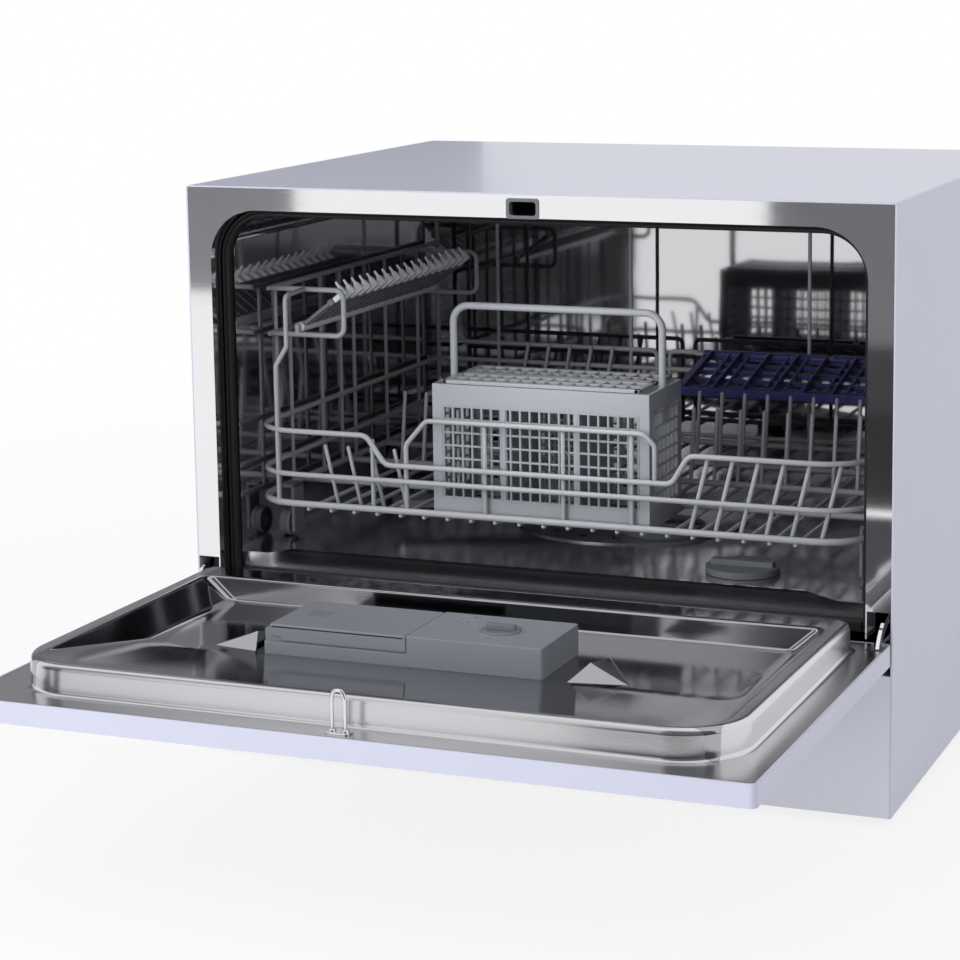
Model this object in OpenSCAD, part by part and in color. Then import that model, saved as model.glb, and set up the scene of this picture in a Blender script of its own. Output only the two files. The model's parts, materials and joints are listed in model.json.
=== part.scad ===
// Countertop dishwasher, door open, with its rack, cutlery basket, shelves, spray arm and base works.
// X runs to the right, Y to the back, Z up. Sizes are in millimetres.
// Everything is drawn from the middle of the cabinet's front, at the cabinet's underside.

/* [Cabinet] */
// Width of the cabinet and of the door
cabinet_width = 550; // [520:1:600]
// Depth of the cabinet without the door
cabinet_depth = 461; // [440:1:500]
// Height of the cabinet without its feet
cabinet_height = 438; // [430:1:480]
// Thickness of the painted wrap
wrap_sheet = 1.2; // [0.8:0.1:2]
// Outside bend radius of the wrap's long edges
wrap_bend = 2.5; // [2:0.5:5]
// Height of the rubber feet
foot_height = 6; // [4:1:12]
// Height of the fascia under the door
fascia_height = 104; // [100:1:110]
// Wall of the fascia and the base tray
base_wall = 2.5; // [2:0.5:4]

/* [Front frame and tub] */
// Width of the steel strip at each side of the opening
side_strip = 19.5; // [18:0.5:24]
// Height of the steel strip over the opening
top_strip = 18; // [16:0.5:22]
// Corner radius of the opening
opening_corner = 38; // [30:1:44]
// Sheet of the front frame and the tub
tub_sheet = 1; // [0.6:0.1:1.5]
// Height of the tub floor over the underside
tub_floor = 150; // [148:1:156]
// Depth from the cabinet front to the tub's back wall
tub_back = 440; // [425:1:445]
// Corner radius of the tub
tub_corner = 22; // [16:1:30]
// Width of the rubber seal's face
seal_width = 6.5; // [5:0.5:8]
// Depth of the rubber seal
seal_depth = 8; // [6:0.5:10]

/* [Door] */
// Thickness of the door's outer pan
door_thickness = 15.2; // [14:0.2:18]
// Gap around the closed door
door_gap = 4.5; // [3:0.5:6]
// Distance from the door's lower edge to its hinge pin
pin_inset = 11; // [9:0.5:14]
// Distance from the door's outer skin to the hinge pin
pin_depth = 6.2; // [5.8:0.1:7]
// Radius of the hinge pins
pin_radius = 2; // [1.5:0.25:2.5]
// Height of the inner panel's rim over the pan
rim_height = 20.5; // [18:0.5:24]
// Depth of the dished floor under the rim
dish_depth = 18; // [14:0.5:18]
// Sheet of the door pans
door_sheet = 1.2; // [0.8:0.1:1.6]

/* [Rack] */
// Distance from the cabinet front to the rack's front fence
rack_front = 34; // [30:1:40]
// Distance from the cabinet front to the rack's back fence
rack_back = 404; // [390:1:410]
// Gap between the rack's side wires and the tub's walls
rack_gap = 7; // [6:0.5:12]
// Height of the rack's bottom rail over the tub floor
rack_clear = 39; // [36:1:44]
// Radius of the heavy rails
rail_r = 2.6; // [2:0.1:3]
// Radius of the frame wires
frame_r = 2.1; // [1.6:0.1:2.4]
// Radius of the tines
tine_r = 1.7; // [1.4:0.1:2]
// Radius of the rollers
roller_r = 11; // [9:0.5:12]
// Width of a roller
roller_w = 9; // [7:0.5:10]

/* [Cutlery basket] */
// Width of the basket
basket_w = 174; // [150:1:190]
// Depth of the basket
basket_d = 75; // [65:1:80]
// Height of the basket without its handle
basket_h = 101; // [85:1:100]
// Height of the handle's arch over the basket
handle_h = 58; // [45:1:62]
// Wall of the basket
basket_wall = 2.4; // [2:0.2:3]

/* [Spray arm and fittings] */
// Span of the spray arm
spray_span = 392; // [330:2:400]
// Radius of the filter cup
cup_r = 34; // [28:1:38]
// Major radius of the water inlet's thread
inlet_r = 13.2; // [13:0.1:14]
// Radius of the drain spigot
spigot_r = 10; // [8:0.5:11]
// Length of the drain spigot behind the cabinet
spigot_out = 24; // [18:1:30]

/* [Hidden] */

// Named clearances and small shared sizes
fit_gap = 0.3;      // between pieces that don't touch
run_gap = 0.05;     // between a pin and its bore
weld = 0.5;         // how far joined pieces of one body sink into each other
eps = 0.5;          // how far a cut runs past a face

// Cabinet
half_w = cabinet_width / 2;
inner_half = half_w - wrap_sheet;
opening_half = half_w - side_strip;
opening_top = cabinet_height - top_strip;
strip_foot = tub_floor;
rear_reach = cabinet_depth + spigot_out;

// Door hinge and door, open
pin_y = -door_gap - (door_thickness - pin_depth);
pin_z = fascia_height + door_gap + pin_inset;
door_near = pin_y + pin_inset;
door_length = cabinet_height - 0.5 - fascia_height - door_gap;
door_far = door_near - door_length;
skin_z = pin_z - pin_depth;
pan_top = skin_z + door_thickness;
rim_half = opening_half - 2.5;
rim_near = door_near - 18;
rim_far = pin_y - (opening_top - 6 - pin_z);
rim_top = pan_top + rim_height;
rim_flat = 12;
rim_corner = 45;
dish_floor = rim_top - dish_depth;
dish_half = rim_half - 34;
dish_near = rim_near - 32;
dish_far = rim_far + 127;
closed_face = pin_y + rim_top - pin_z;

// Tub and seal
seal_front = closed_face + fit_gap;
seal_back = seal_front + seal_depth;
tub_half = opening_half - 3.5;
tub_top = cabinet_height - 24;
seal_half = opening_half - fit_gap;
mouth_half = seal_half - seal_width;
mouth_top = opening_top - fit_gap - seal_width;
mouth_corner = opening_corner - seal_width;
sill_z = tub_floor + 5;
seal_foot = tub_floor - 20;

// Sump, filter and spray arm share an axis in the middle of the tub
wash_y = (seal_back + tub_back) / 2;
arm_z = tub_floor + 16;

// Rack
rack_half = tub_half - rack_gap;
rail_z = tub_floor + rack_clear;
mid_z = rail_z + 23;
upper_z = rail_z + 57;
dip_z = rail_z + 35;
keep_z = rail_z + 71;
side_top_z = rail_z + 162;
back_top_z = rail_z + 190;
floor_z = rail_z - rail_r - tine_r + weld;
rack_corner = 38;
fence_half = rack_half - rack_corner;
roller_x = rack_half - roller_w / 2 - 1;
roller_y = [rack_front + 54, rack_back - 54];
roller_z = tub_floor + roller_r + 0.1;
axle_r = 3;

// Cutlery basket
basket_x = -5;
basket_front = rack_front + rail_r + 4;
basket_z = floor_z + tine_r + fit_gap;
basket_top = basket_z + basket_h;
basket_back = basket_front + basket_d;
basket_mid = basket_front + basket_d / 2;

// Dispenser
disp_left = -127;
disp_right = 81;
disp_far = dish_far + 4;
disp_near = disp_far + 70;
disp_top = dish_floor + 22;
lid_right = -18;
lid_thick = 3.5;

front_y = -(rear_reach + door_far) / 2;

steel = [0.75, 0.76, 0.78];
white = [0.82, 0.82, 0.88];
grey = [0.6, 0.62, 0.65];
dark = [0.12, 0.12, 0.13];
wire_grey = [0.7, 0.7, 0.7];
navy = [0.12, 0.12, 0.36];

module from_front() { translate([0, front_y, foot_height]) children(); }

// A rectangle between two corners with rounded corners
module rounded(low, high, r) {
  translate([low[0] + r, low[1]]) square([high[0] - low[0] - 2 * r, high[1] - low[1]]);
  translate([low[0], low[1] + r]) square([high[0] - low[0], high[1] - low[1] - 2 * r]);
  for (x = [low[0] + r, high[0] - r], y = [low[1] + r, high[1] - r])
    translate([x, y]) circle(r, $fn = 48);
}

// A rectangle with only its upper corners rounded
module arch(low, high, r) {
  rounded(low, high, r);
  translate(low) square([high[0] - low[0], (high[1] - low[1]) / 2]);
}

// A flat outline in X and Z, given thickness from y to y + t
module upright(y, t) { translate([0, y + t, 0]) rotate([90, 0, 0]) linear_extrude(t) children(); }

// A flat outline in Y and Z, given thickness from x to x + t
module sideways(x, t) {
  translate([x, 0, 0]) rotate([90, 0, 90]) linear_extrude(t) children();
}

module block(low, high) { translate(low) cube([high[0] - low[0], high[1] - low[1], high[2] - low[2]]); }

module both_sides() {
  children();
  mirror([1, 0, 0]) children();
}

// A straight round bar between two points
module bar(a, b, r) {
  d = b - a;
  long = norm(d);
  translate(a) rotate([0, acos(d[2] / long), atan2(d[1], d[0])]) rotate([0, 0, 45])
    cylinder(h = long, r = r, $fn = 24);
}

// A round wire through a list of points: its bars cross a little at each turn
module wire(points, r) {
  last = len(points) - 1;
  for (i = [0 : last - 1]) {
    way = (points[i + 1] - points[i]) / norm(points[i + 1] - points[i]);
    start = points[i] - way * (i > 0 ? 0.4 * r : 0);
    end = points[i + 1] + way * (i < last - 1 ? 0.4 * r : 0);
    bar(start, end, r - (i % 2) * 0.12);
  }
}

// Both front corners of the rack, at height z
module front_corners(z, r) {
  for (side = [-1, 1]) translate([side * fence_half, rack_front + rack_corner, z])
    rotate([0, 0, side > 0 ? -90 : 180]) rotate_extrude(angle = 90, $fn = 72)
      translate([rack_corner, 0]) circle(r, $fn = 24);
}

// ---------------------------------------------------------------- cabinet

module cabinet_wrap() {
  color(white) from_front() upright(0, cabinet_depth) difference() {
    rounded([-half_w, -wrap_bend], [half_w, cabinet_height], wrap_bend);
    rounded([-inner_half, -2 * wrap_bend], [inner_half, cabinet_height - wrap_sheet],
      max(wrap_bend - wrap_sheet, 0.3));
    translate([-half_w - eps, -2 * wrap_bend]) square([2 * half_w + 2 * eps, 2 * wrap_bend]);
  }
}

inlet_at = [-200, 60];
spigot_at = [-150, 60];
gland_at = [200, 50];
inlet_out = 14;
collar_out = 1;

module rear_panel() {
  vents = 9;
  color(white) from_front() upright(cabinet_depth - 2 * wrap_sheet, wrap_sheet) difference() {
    translate([-inner_half, 0]) square([2 * inner_half, cabinet_height - wrap_sheet]);
    translate(inlet_at) circle(inlet_r + 4 + fit_gap, $fn = 48);
    translate(spigot_at) circle(spigot_r + 4 + fit_gap, $fn = 48);
    translate(gland_at) circle(gland_r + fit_gap, $fn = 48);
    for (i = [0 : vents - 1]) translate([60 + 14 * i, 30]) square([6, 60]);
  }
}

module base_tray() {
  tray_back = cabinet_depth - 2 * wrap_sheet;
  color(dark) from_front() difference() {
    block([-inner_half, base_wall, 0], [inner_half, tray_back, 30]);
    block([-inner_half + base_wall, 2 * base_wall, base_wall],
      [inner_half - base_wall, tray_back - base_wall, 30 + eps]);
  }
}

module feet() {
  color(dark) from_front() for (x = [-1, 1] * (half_w - 40), y = [40, cabinet_depth - 40])
    translate([x, y, -foot_height]) {
      cylinder(h = foot_height, r = 14, $fn = 48);
      cylinder(h = foot_height - 2, r = 16, $fn = 48);
    }
}

button_r = 7;
button_x = [-180, 90, 130, 170];
button_z = 55;
window_low = [-60, 40];
window_high = [40, 70];

module fascia() {
  lip = 12;
  color(white) from_front() {
    upright(0, base_wall) difference() {
      translate([-inner_half, 0]) square([2 * inner_half, fascia_height]);
      for (x = button_x) translate([x, button_z]) circle(button_r + fit_gap, $fn = 48);
      translate(window_low) square(window_high - window_low);
    }
    block([-opening_half + 6, base_wall - weld, fascia_height - base_wall],
      [opening_half - 6, lip, fascia_height]);
  }
}

module display_window() {
  color(dark) from_front() {
    upright(0.2, base_wall - 0.2)
      translate(window_low + [0.1, 0.1]) square(window_high - window_low - [0.2, 0.2]);
    upright(base_wall, 1.5)
      translate(window_low - [3, 3]) square(window_high - window_low + [6, 6]);
  }
}

module button(x) {
  color(grey) from_front() translate([x, 0, button_z]) rotate([-90, 0, 0]) {
    translate([0, 0, -1.5]) cylinder(h = 9, r = button_r, $fn = 48);
    translate([0, 0, base_wall + fit_gap]) cylinder(h = 1.2, r = button_r + 1.5, $fn = 48);
  }
}
module power_button() { button(button_x[0]); }
module program_button() { button(button_x[1]); }
module delay_button() { button(button_x[2]); }
module start_button() { button(button_x[3]); }

board_ends = [button_x[0] - 20, button_x[3] + 30];

module control_board() {
  color("darkgreen") from_front() {
    upright(12, 1.6) translate([board_ends[0], 25]) square([board_ends[1] - board_ends[0], 60]);
    for (x = button_x) block([x - 3, 10.5, button_z - 3], [x + 3, 12, button_z + 3]);
    block([-50, 13.6, 35], [-20, 30, 75]);
  }
}

// Steel face around the opening, with the walls that turn in to the seal
module front_frame() {
  slot_half = 10.3;
  color(steel) from_front() {
    upright(0, tub_sheet) difference() {
      translate([-inner_half, strip_foot]) square([2 * inner_half, cabinet_height - wrap_sheet - strip_foot]);
      arch([-opening_half, strip_foot - 30], [opening_half, opening_top], opening_corner);
      translate([-slot_half, latch_z - 5]) square([2 * slot_half, 10]);
    }
    upright(0, seal_back) difference() {
      arch([-opening_half - tub_sheet, seal_foot], [opening_half + tub_sheet, opening_top + tub_sheet],
        opening_corner + tub_sheet);
      arch([-opening_half, seal_foot - 60], [opening_half, opening_top], opening_corner);
    }
  }
}

// Outline of the tub's mouth: its sill drops at both sides, where the rollers pass
module mouth() {
  sill_half = tub_half - 47;
  drop_half = tub_half - 21;
  difference() {
    arch([-mouth_half, tub_floor - 0.5], [mouth_half, mouth_top], mouth_corner);
    polygon([[-drop_half, tub_floor - 1], [-sill_half, sill_z], [sill_half, sill_z],
      [drop_half, tub_floor - 1]]);
  }
}

module tub() {
  flange_y = seal_back;
  color(steel) from_front() difference() {
    union() {
      upright(flange_y, tub_sheet) difference() {
        arch([-opening_half - tub_sheet, seal_foot], [opening_half + tub_sheet, opening_top + tub_sheet],
          opening_corner + tub_sheet);
        mouth();
      }
      upright(flange_y + tub_sheet, tub_back - flange_y - tub_sheet) difference() {
        arch([-tub_half - tub_sheet, tub_floor - tub_sheet], [tub_half + tub_sheet, tub_top + tub_sheet],
          tub_corner + tub_sheet);
        arch([-tub_half, tub_floor], [tub_half, tub_top], tub_corner);
      }
      upright(tub_back, tub_sheet)
        arch([-tub_half - tub_sheet, tub_floor - tub_sheet], [tub_half + tub_sheet, tub_top + tub_sheet],
          tub_corner + tub_sheet);
    }
    translate([0, wash_y, tub_floor - 5]) cylinder(h = 10, r = sump_r, $fn = 96);
    translate([salt_at[0], salt_at[1], tub_floor - 5]) cylinder(h = 10, r = salt_r - 4, $fn = 48);
  }
}

module door_seal() {
  color(dark) from_front() upright(seal_front, seal_depth) difference() {
    arch([-seal_half, seal_foot], [seal_half, opening_top - fit_gap], opening_corner - fit_gap);
    arch([-mouth_half, seal_foot + seal_depth], [mouth_half, mouth_top], mouth_corner);
  }
}

// ---------------------------------------------------------------- hinges and latch

ear_x = opening_half + 7.5;
ear_t = 2.5;
ear_r = 4.3;

module hinge_brackets() {
  color(steel) from_front() both_sides() difference() {
    union() {
      sideways(ear_x, ear_t) union() {
        translate([pin_y, pin_z]) circle(ear_r, $fn = 48);
        translate([pin_y, pin_z - ear_r]) square([60 - pin_y, 2 * ear_r]);
        translate([30, 40]) square([30, pin_z + ear_r - 40]);
      }
      block([ear_x, 58, 40], [inner_half, 60, pin_z + ear_r]);
      block([inner_half - 1.5, 30, 40], [inner_half, 60, pin_z + ear_r]);
    }
    translate([ear_x - 5, pin_y, pin_z]) rotate([0, 90, 0])
      cylinder(h = 12, r = pin_radius + run_gap, $fn = 48);
  }
}

module hinge_springs() {
  coils = 4;
  coil_r = 0.6;
  color(steel) from_front() both_sides() for (i = [0 : coils - 1])
    translate([opening_half + 2 + i * (2 * coil_r - 0.1), pin_y, pin_z]) rotate([0, 90, 0])
      rotate_extrude($fn = 48) translate([pin_radius + 1.2, 0]) circle(coil_r, $fn = 16);
}

module hinge_pins() {
  color(steel) from_front() both_sides() translate([opening_half + 1, pin_y, pin_z]) rotate([0, 90, 0])
    cylinder(h = half_w - door_sheet - 1.5 - opening_half - 1, r = pin_radius, $fn = 48);
}

module hinge_blocks() {
  color(dark) from_front() both_sides() difference() {
    block([ear_x + ear_t + 0.5, pin_y - 6, skin_z + door_sheet + 0.1],
      [half_w - door_sheet - 0.5, door_near - pan_corner, pan_top - door_sheet]);
    translate([ear_x, pin_y, pin_z]) rotate([0, 90, 0]) cylinder(h = 30, r = pin_radius, $fn = 48);
  }
}

arm_at = [15, 108];
arm_bend = 36;
arm_w = 7;

module hinge_arms() {
  color(steel) from_front() both_sides() difference() {
    translate([ear_x + ear_t + 2, arm_at[0], arm_at[1]]) rotate([90, 0, 90]) rotate([0, 0, 95])
      rotate_extrude(angle = 55, $fn = 96) translate([arm_bend - arm_w / 2, 0]) square([arm_w, 2.5]);
    block([0, -60, 0], [half_w, 0, pan_top]);
  }
}

latch_z = cabinet_height - 11;
hook_y = pin_y - (latch_z - pin_z);

module latch_hook() {
  tall = 29.5;
  wide = 11.5;
  window = 6.4;
  color(white) from_front() translate([0, 1.5, 0]) upright(hook_y - 3, 3) difference() {
    union() {
      translate([-wide / 2, pan_top]) square([wide, tall - wide / 2]);
      translate([0, pan_top + tall - wide / 2]) circle(wide / 2, $fn = 48);
    }
    translate([-window / 2, pan_top + 5]) square([window, tall - 10]);
  }
}

bolt_half = 2.4;

module latch_housing() {
  color(dark) from_front() difference() {
    block([-24, tub_sheet, opening_top + tub_sheet + 0.1], [24, 44, cabinet_height - wrap_sheet]);
    block([-12, 0, latch_z - 5], [12, 34, latch_z + 5]);
    block([-bolt_half - fit_gap, 7, latch_z - 5], [bolt_half + fit_gap, 17, latch_z + 9]);
  }
}

module latch_bolt() {
  low = latch_z + 2.2;
  high = low + 5.6;
  color(grey) from_front() sideways(-bolt_half, 2 * bolt_half)
    polygon([[9, low + 2], [12, low], [15, low], [15, high], [9, high]]);
}

// ---------------------------------------------------------------- water works

sump_r = 91;
neck_r = cup_r + 8;
cup_at = [40, wash_y - 38];
salt_at = [140, 85];
salt_r = 28;
hub_r = 9;

module filter_plate() {
  rim = 6;
  color(steel) from_front() difference() {
    translate([0, wash_y, tub_floor]) cylinder(h = 1.2, r = sump_r + rim, $fn = 96);
    translate([cup_at[0], cup_at[1], tub_floor - 1]) cylinder(h = 4, r = cup_r + fit_gap, $fn = 64);
    for (ring = [1 : 3], a = [100 : 20 : 300])
      translate([0, wash_y, tub_floor - 1]) rotate([0, 0, a]) translate([22 * ring + 12, 0, 0])
        cylinder(h = 4, r = 3, $fn = 24);
  }
}

module filter_cup() {
  color(grey) from_front() translate([cup_at[0], cup_at[1], 0]) {
    difference() {
      translate([0, 0, tub_floor - 45]) cylinder(h = 52, r = cup_r, $fn = 64);
      translate([0, 0, tub_floor - 42]) cylinder(h = 60, r = cup_r - 2, $fn = 64);
    }
    difference() {
      block([-cup_r + 1, -3, tub_floor - 10], [cup_r - 1, 3, tub_floor + 7]);
      block([-12, -4, tub_floor - 11], [12, 4, tub_floor - 3]);
    }
  }
}

module salt_cap() {
  color(white) from_front() translate([salt_at[0], salt_at[1], tub_floor + fit_gap]) {
    cylinder(h = 5, r = salt_r, $fn = 64);
    block([-salt_r + 4, -4, 0], [salt_r - 4, 4, 9]);
  }
}

module softener() {
  color(white) from_front() {
    difference() {
      block([salt_at[0] - 50, salt_at[1] - 48, 58], [salt_at[0] + 50, salt_at[1] + 45, tub_floor - 2]);
      block([salt_at[0] - 47, salt_at[1] - 45, 61], [salt_at[0] + 47, salt_at[1] + 42, tub_floor - 5]);
    }
    difference() {
      translate([salt_at[0], salt_at[1], tub_floor - 6]) cylinder(h = 6, r = salt_r - 4.5, $fn = 48);
      translate([salt_at[0], salt_at[1], tub_floor - 9]) cylinder(h = 12, r = salt_r - 8, $fn = 48);
    }
  }
}

module sump() {
  under = tub_floor - tub_sheet;
  color(dark) from_front() difference() {
    union() {
      translate([0, wash_y, under - 22]) cylinder(h = 22, r = sump_r + 4, $fn = 96);
      translate([cup_at[0], cup_at[1], 55]) cylinder(h = under - 60, r = neck_r, $fn = 64);
    }
    translate([0, wash_y, under - 19]) cylinder(h = 30, r = sump_r + 1, $fn = 96);
    translate([cup_at[0], cup_at[1], 58]) cylinder(h = 100, r = neck_r - 3, $fn = 64);
  }
}

pump_y = wash_y - 38;

module wash_pump() {
  start = cup_at[0] + neck_r - 2;
  color(grey) from_front() translate([start, pump_y, 76]) rotate([0, 90, 0]) {
    cylinder(h = 28, r = 40, $fn = 64);
    translate([0, 0, 28]) cylinder(h = 70, r = 33, $fn = 64);
    translate([0, 0, 98]) cylinder(h = 8, r = 14, $fn = 48);
  }
}

module drain_pump() {
  end = cup_at[0] - neck_r + 2;
  color(grey) from_front() translate([end, pump_y, 80]) rotate([0, -90, 0]) {
    cylinder(h = 22, r = 24, $fn = 64);
    translate([0, 0, 22]) cylinder(h = 48, r = 20, $fn = 64);
  }
}

module inlet_valve() {
  color(white) from_front() {
    block([inlet_at[0] - 20, cabinet_depth - 62, inlet_at[1] - 18],
      [inlet_at[0] + 20, cabinet_depth - 8, inlet_at[1] + 26]);
    translate([inlet_at[0], cabinet_depth - 9, inlet_at[1]]) rotate([-90, 0, 0]) {
      cylinder(h = 9 + collar_out, r = inlet_r + 4, $fn = 64);
      cylinder(h = 9 + collar_out + inlet_out, r = inlet_r, $fn = 64);
    }
    translate([inlet_at[0], cabinet_depth - 40, inlet_at[1] + 25]) cylinder(h = 22, r = 13, $fn = 48);
  }
}

module drain_spigot() {
  color(dark) from_front() translate([spigot_at[0], 0, spigot_at[1]]) rotate([-90, 0, 0]) difference() {
    union() {
      translate([0, 0, cabinet_depth - 30]) cylinder(h = 30 + spigot_out, r = spigot_r, $fn = 64);
      translate([0, 0, cabinet_depth - 12]) cylinder(h = 12 + collar_out, r = spigot_r + 4, $fn = 64);
    }
    translate([0, 0, cabinet_depth - 40]) cylinder(h = 80 + spigot_out, r = spigot_r - 2.5, $fn = 64);
  }
}

gland_r = 10;
gland_bore = 4;

module cord_gland() {
  color(dark) from_front() translate([gland_at[0], cabinet_depth - 12, gland_at[1]]) rotate([-90, 0, 0])
    difference() {
      union() {
        cylinder(h = 18, r = gland_r, $fn = 64);
        translate([0, 0, 12]) cylinder(h = 3, r = gland_r + 4, $fn = 64);
      }
      translate([0, 0, -1]) cylinder(h = 20, r = gland_bore, $fn = 48);
    }
}

module float_switch() {
  color(white) from_front() translate([-inner_half + 63.8, 70, base_wall]) {
    cylinder(h = 16, r = 18, $fn = 48);
    translate([0, 0, 16]) cylinder(h = 10, r = 5, $fn = 32);
  }
}

tank = [cabinet_depth * 0.26, tub_floor + 20, cabinet_depth * 0.72, cabinet_height - 38];

module air_break_tank() {
  color(white) from_front() difference() {
    block([-inner_half + fit_gap, tank[0], tank[1]], [-tub_half - tub_sheet - fit_gap, tank[2], tank[3]]);
    block([-inner_half + 2, tank[0] + 2, tank[1] + 2], [-tub_half - tub_sheet - 2, tank[2] - 2, tank[3] - 2]);
  }
}

module spray_hub() {
  color(dark) from_front() translate([0, wash_y, tub_floor + 1.2]) {
    cylinder(h = 6, r = 16, $fn = 48);
    cylinder(h = arm_z + 15 - tub_floor, r = hub_r, $fn = 48);
    translate([0, 0, arm_z + 13.5 - tub_floor]) cylinder(h = 2, r = hub_r + 4, $fn = 48);
  }
}

module spray_arm() {
  color(steel) from_front() translate([0, wash_y, arm_z]) rotate([0, 0, 25]) difference() {
    union() {
      translate([0, 0, -4]) cylinder(h = 18, r = 18, $fn = 64);
      for (side = [0, 180]) rotate([0, 0, side]) hull() {
        translate([10, 0, 0]) cylinder(h = 9, r = 21, $fn = 32);
        translate([spray_span / 2 - 12, 0, 0]) cylinder(h = 6, r = 12, $fn = 32);
      }
    }
    translate([0, 0, -10]) cylinder(h = 40, r = hub_r + run_gap, $fn = 48);
    for (side = [-1, 1], k = [1 : 4])
      translate([side * 40 * k + 6, side * 4, -2]) cylinder(h = 20, r = 1.5, $fn = 24);
  }
}

// ---------------------------------------------------------------- door

pan_corner = 4.5;

module door_outer_pan() {
  color(white) from_front() difference() {
    translate([0, 0, skin_z]) linear_extrude(door_thickness)
      rounded([-half_w, door_far], [half_w, door_near], pan_corner);
    translate([0, 0, skin_z + door_sheet]) linear_extrude(door_thickness)
      rounded([-half_w + door_sheet, door_far + door_sheet], [half_w - door_sheet, door_near - door_sheet],
        pan_corner - door_sheet);
    block([grip_low[0], grip_low[1], skin_z - eps], [grip_high[0], grip_high[1], skin_z + 5]);
    both_sides() hinge_notch();
  }
}

// Room for the cabinet's hinge ear through the pan's edge and top
module hinge_notch() {
  block([ear_x - 0.5, pin_y - ear_r - 0.7, skin_z + door_sheet],
    [ear_x + ear_t + 0.5, door_near + eps, pan_top + eps]);
}

grip_low = [-65, rim_far + 6];
grip_high = [65, rim_far + 40];
grip_deep = 24;

module handle_cup() {
  wall = 1.6;
  color(white) from_front() difference() {
    block([grip_low[0] + 0.1, grip_low[1] + 0.1, skin_z],
      [grip_high[0] - 0.1, grip_high[1] - 0.1, skin_z + grip_deep]);
    block([grip_low[0] + wall, grip_low[1] + wall, skin_z - eps],
      [grip_high[0] - wall, grip_high[1] - wall, skin_z + grip_deep - wall]);
  }
}

// The dished space over the door's inner panel, grown outwards by the given amount
module dish(grow) {
  top = [rim_half - rim_flat, rim_far + 8, rim_near - 30];
  flat = [dish_half, dish_far, dish_near];
  round = 32;
  hull() {
    for (side = [-1, 1], y = [top[1] + round - grow, top[2] - round / 4 + grow])
      translate([side * (top[0] - round + grow), y, rim_top + 0.1])
        cylinder(h = 0.1, r = y < dish_far ? round : round / 4, $fn = 32);
    for (side = [-1, 1], y = [flat[1] + round / 2 - grow, flat[2] - round / 4 + grow])
      translate([side * (flat[0] - round / 2 + grow), y, dish_floor - grow])
        cylinder(h = 0.1, r = y < dish_far + round ? round / 2 : round / 4, $fn = 32);
  }
}

// One stamped wedge on the dished floor
module wedge(x, side) {
  hull() {
    translate([x, dish_far + 10, dish_floor - 0.5]) cylinder(h = 0.6, r = 2, $fn = 16);
    translate([x + side * 32, dish_far + 14, dish_floor - 0.5]) cylinder(h = 0.6, r = 2, $fn = 16);
    translate([x + side * 4, dish_far + 72, dish_floor - 0.5]) cylinder(h = 0.6, r = 2, $fn = 16);
    translate([x + side * 6, dish_far + 24, dish_floor + 8]) sphere(1, $fn = 16);
  }
}

module rim_outline(shrink) {
  rounded([-rim_half + shrink, rim_far + shrink], [rim_half - shrink, rim_near - shrink],
    rim_corner - shrink);
  translate([-rim_half + shrink, (rim_far + rim_near) / 2])
    rounded([0, 0], [2 * rim_half - 2 * shrink, (rim_near - rim_far) / 2 - shrink], 12 - shrink);
}

module door_inner_panel() {
  inset = door_sheet + 0.1;
  base = pan_top - door_sheet;
  color(steel) from_front() {
    difference() {
      union() {
        translate([0, 0, base]) linear_extrude(door_sheet)
          rounded([-half_w + inset, door_far + inset], [half_w - inset, door_near - inset],
            pan_corner - inset);
        translate([0, 0, base]) linear_extrude(rim_height + door_sheet) rim_outline(0);
      }
      dish(0);
      difference() {
        translate([0, 0, base - eps]) linear_extrude(rim_height + eps) rim_outline(door_sheet);
        dish(door_sheet);
      }
      block([disp_left + 8, disp_far + 6, dish_floor - 10], [disp_right - 8, disp_near - 6, dish_floor + 5]);
      both_sides() hinge_notch();
    }
    wedge(disp_right + 24, 1);
    wedge(disp_left - 8, -1);
  }
}

module door_insulation() {
  color("dimgray") from_front() difference() {
    block([-dish_half + 4, dish_far + 2, skin_z + door_sheet + 0.2],
      [dish_half - 4, dish_near - 4, dish_floor - door_sheet - 0.3]);
    block([disp_left + 6, disp_far + 4, skin_z], [disp_right - 6, disp_near - 4, dish_floor + 5]);
  }
}

// ---------------------------------------------------------------- dispenser

module dispenser_body() {
  low = dish_floor - 13;
  step = disp_top - lid_thick - fit_gap;
  color(grey) from_front() difference() {
    union() {
      block([disp_left, disp_far + 1.8, dish_floor], [lid_right, disp_near, step]);
      block([lid_right, disp_far, dish_floor], [disp_right, disp_near, disp_top]);
      block([disp_left + 8.5, disp_far + 6.5, low], [disp_right - 8.5, disp_near - 6.5, dish_floor + 1]);
    }
    block([cell_low[0], cell_low[1], low + 2], [cell_high[0], cell_high[1], disp_top]);
    translate([cap_at[0], cap_at[1], disp_top - 3]) cylinder(h = 5, r = cap_r + 1, $fn = 48);
  }
}

cell_low = [disp_left + 14, disp_far + 14];
cell_high = [lid_right - 12, disp_near - 12];
cap_at = [38, disp_far + 34];
cap_r = 14;

module dispenser_lid() {
  skirt = 9;
  color(grey) from_front() {
    block([disp_left + 5, disp_far, disp_top - lid_thick], [lid_right - fit_gap, disp_near - 2, disp_top]);
    block([disp_left + 5, disp_far, disp_top - skirt], [lid_right - fit_gap, disp_far + 1.5, disp_top]);
    block([disp_left + 14, disp_far, disp_top - skirt - 3], [lid_right - fit_gap, disp_far + 1.5, disp_top]);
  }
}

module rinse_aid_cap() {
  color(dark) from_front() translate([cap_at[0], cap_at[1], disp_top - 2.7]) {
    cylinder(h = 4, r = cap_r, $fn = 48);
    block([-cap_r + 3, -2.5, 0], [cap_r - 3, 2.5, 8]);
  }
}

// ---------------------------------------------------------------- rack

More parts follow.
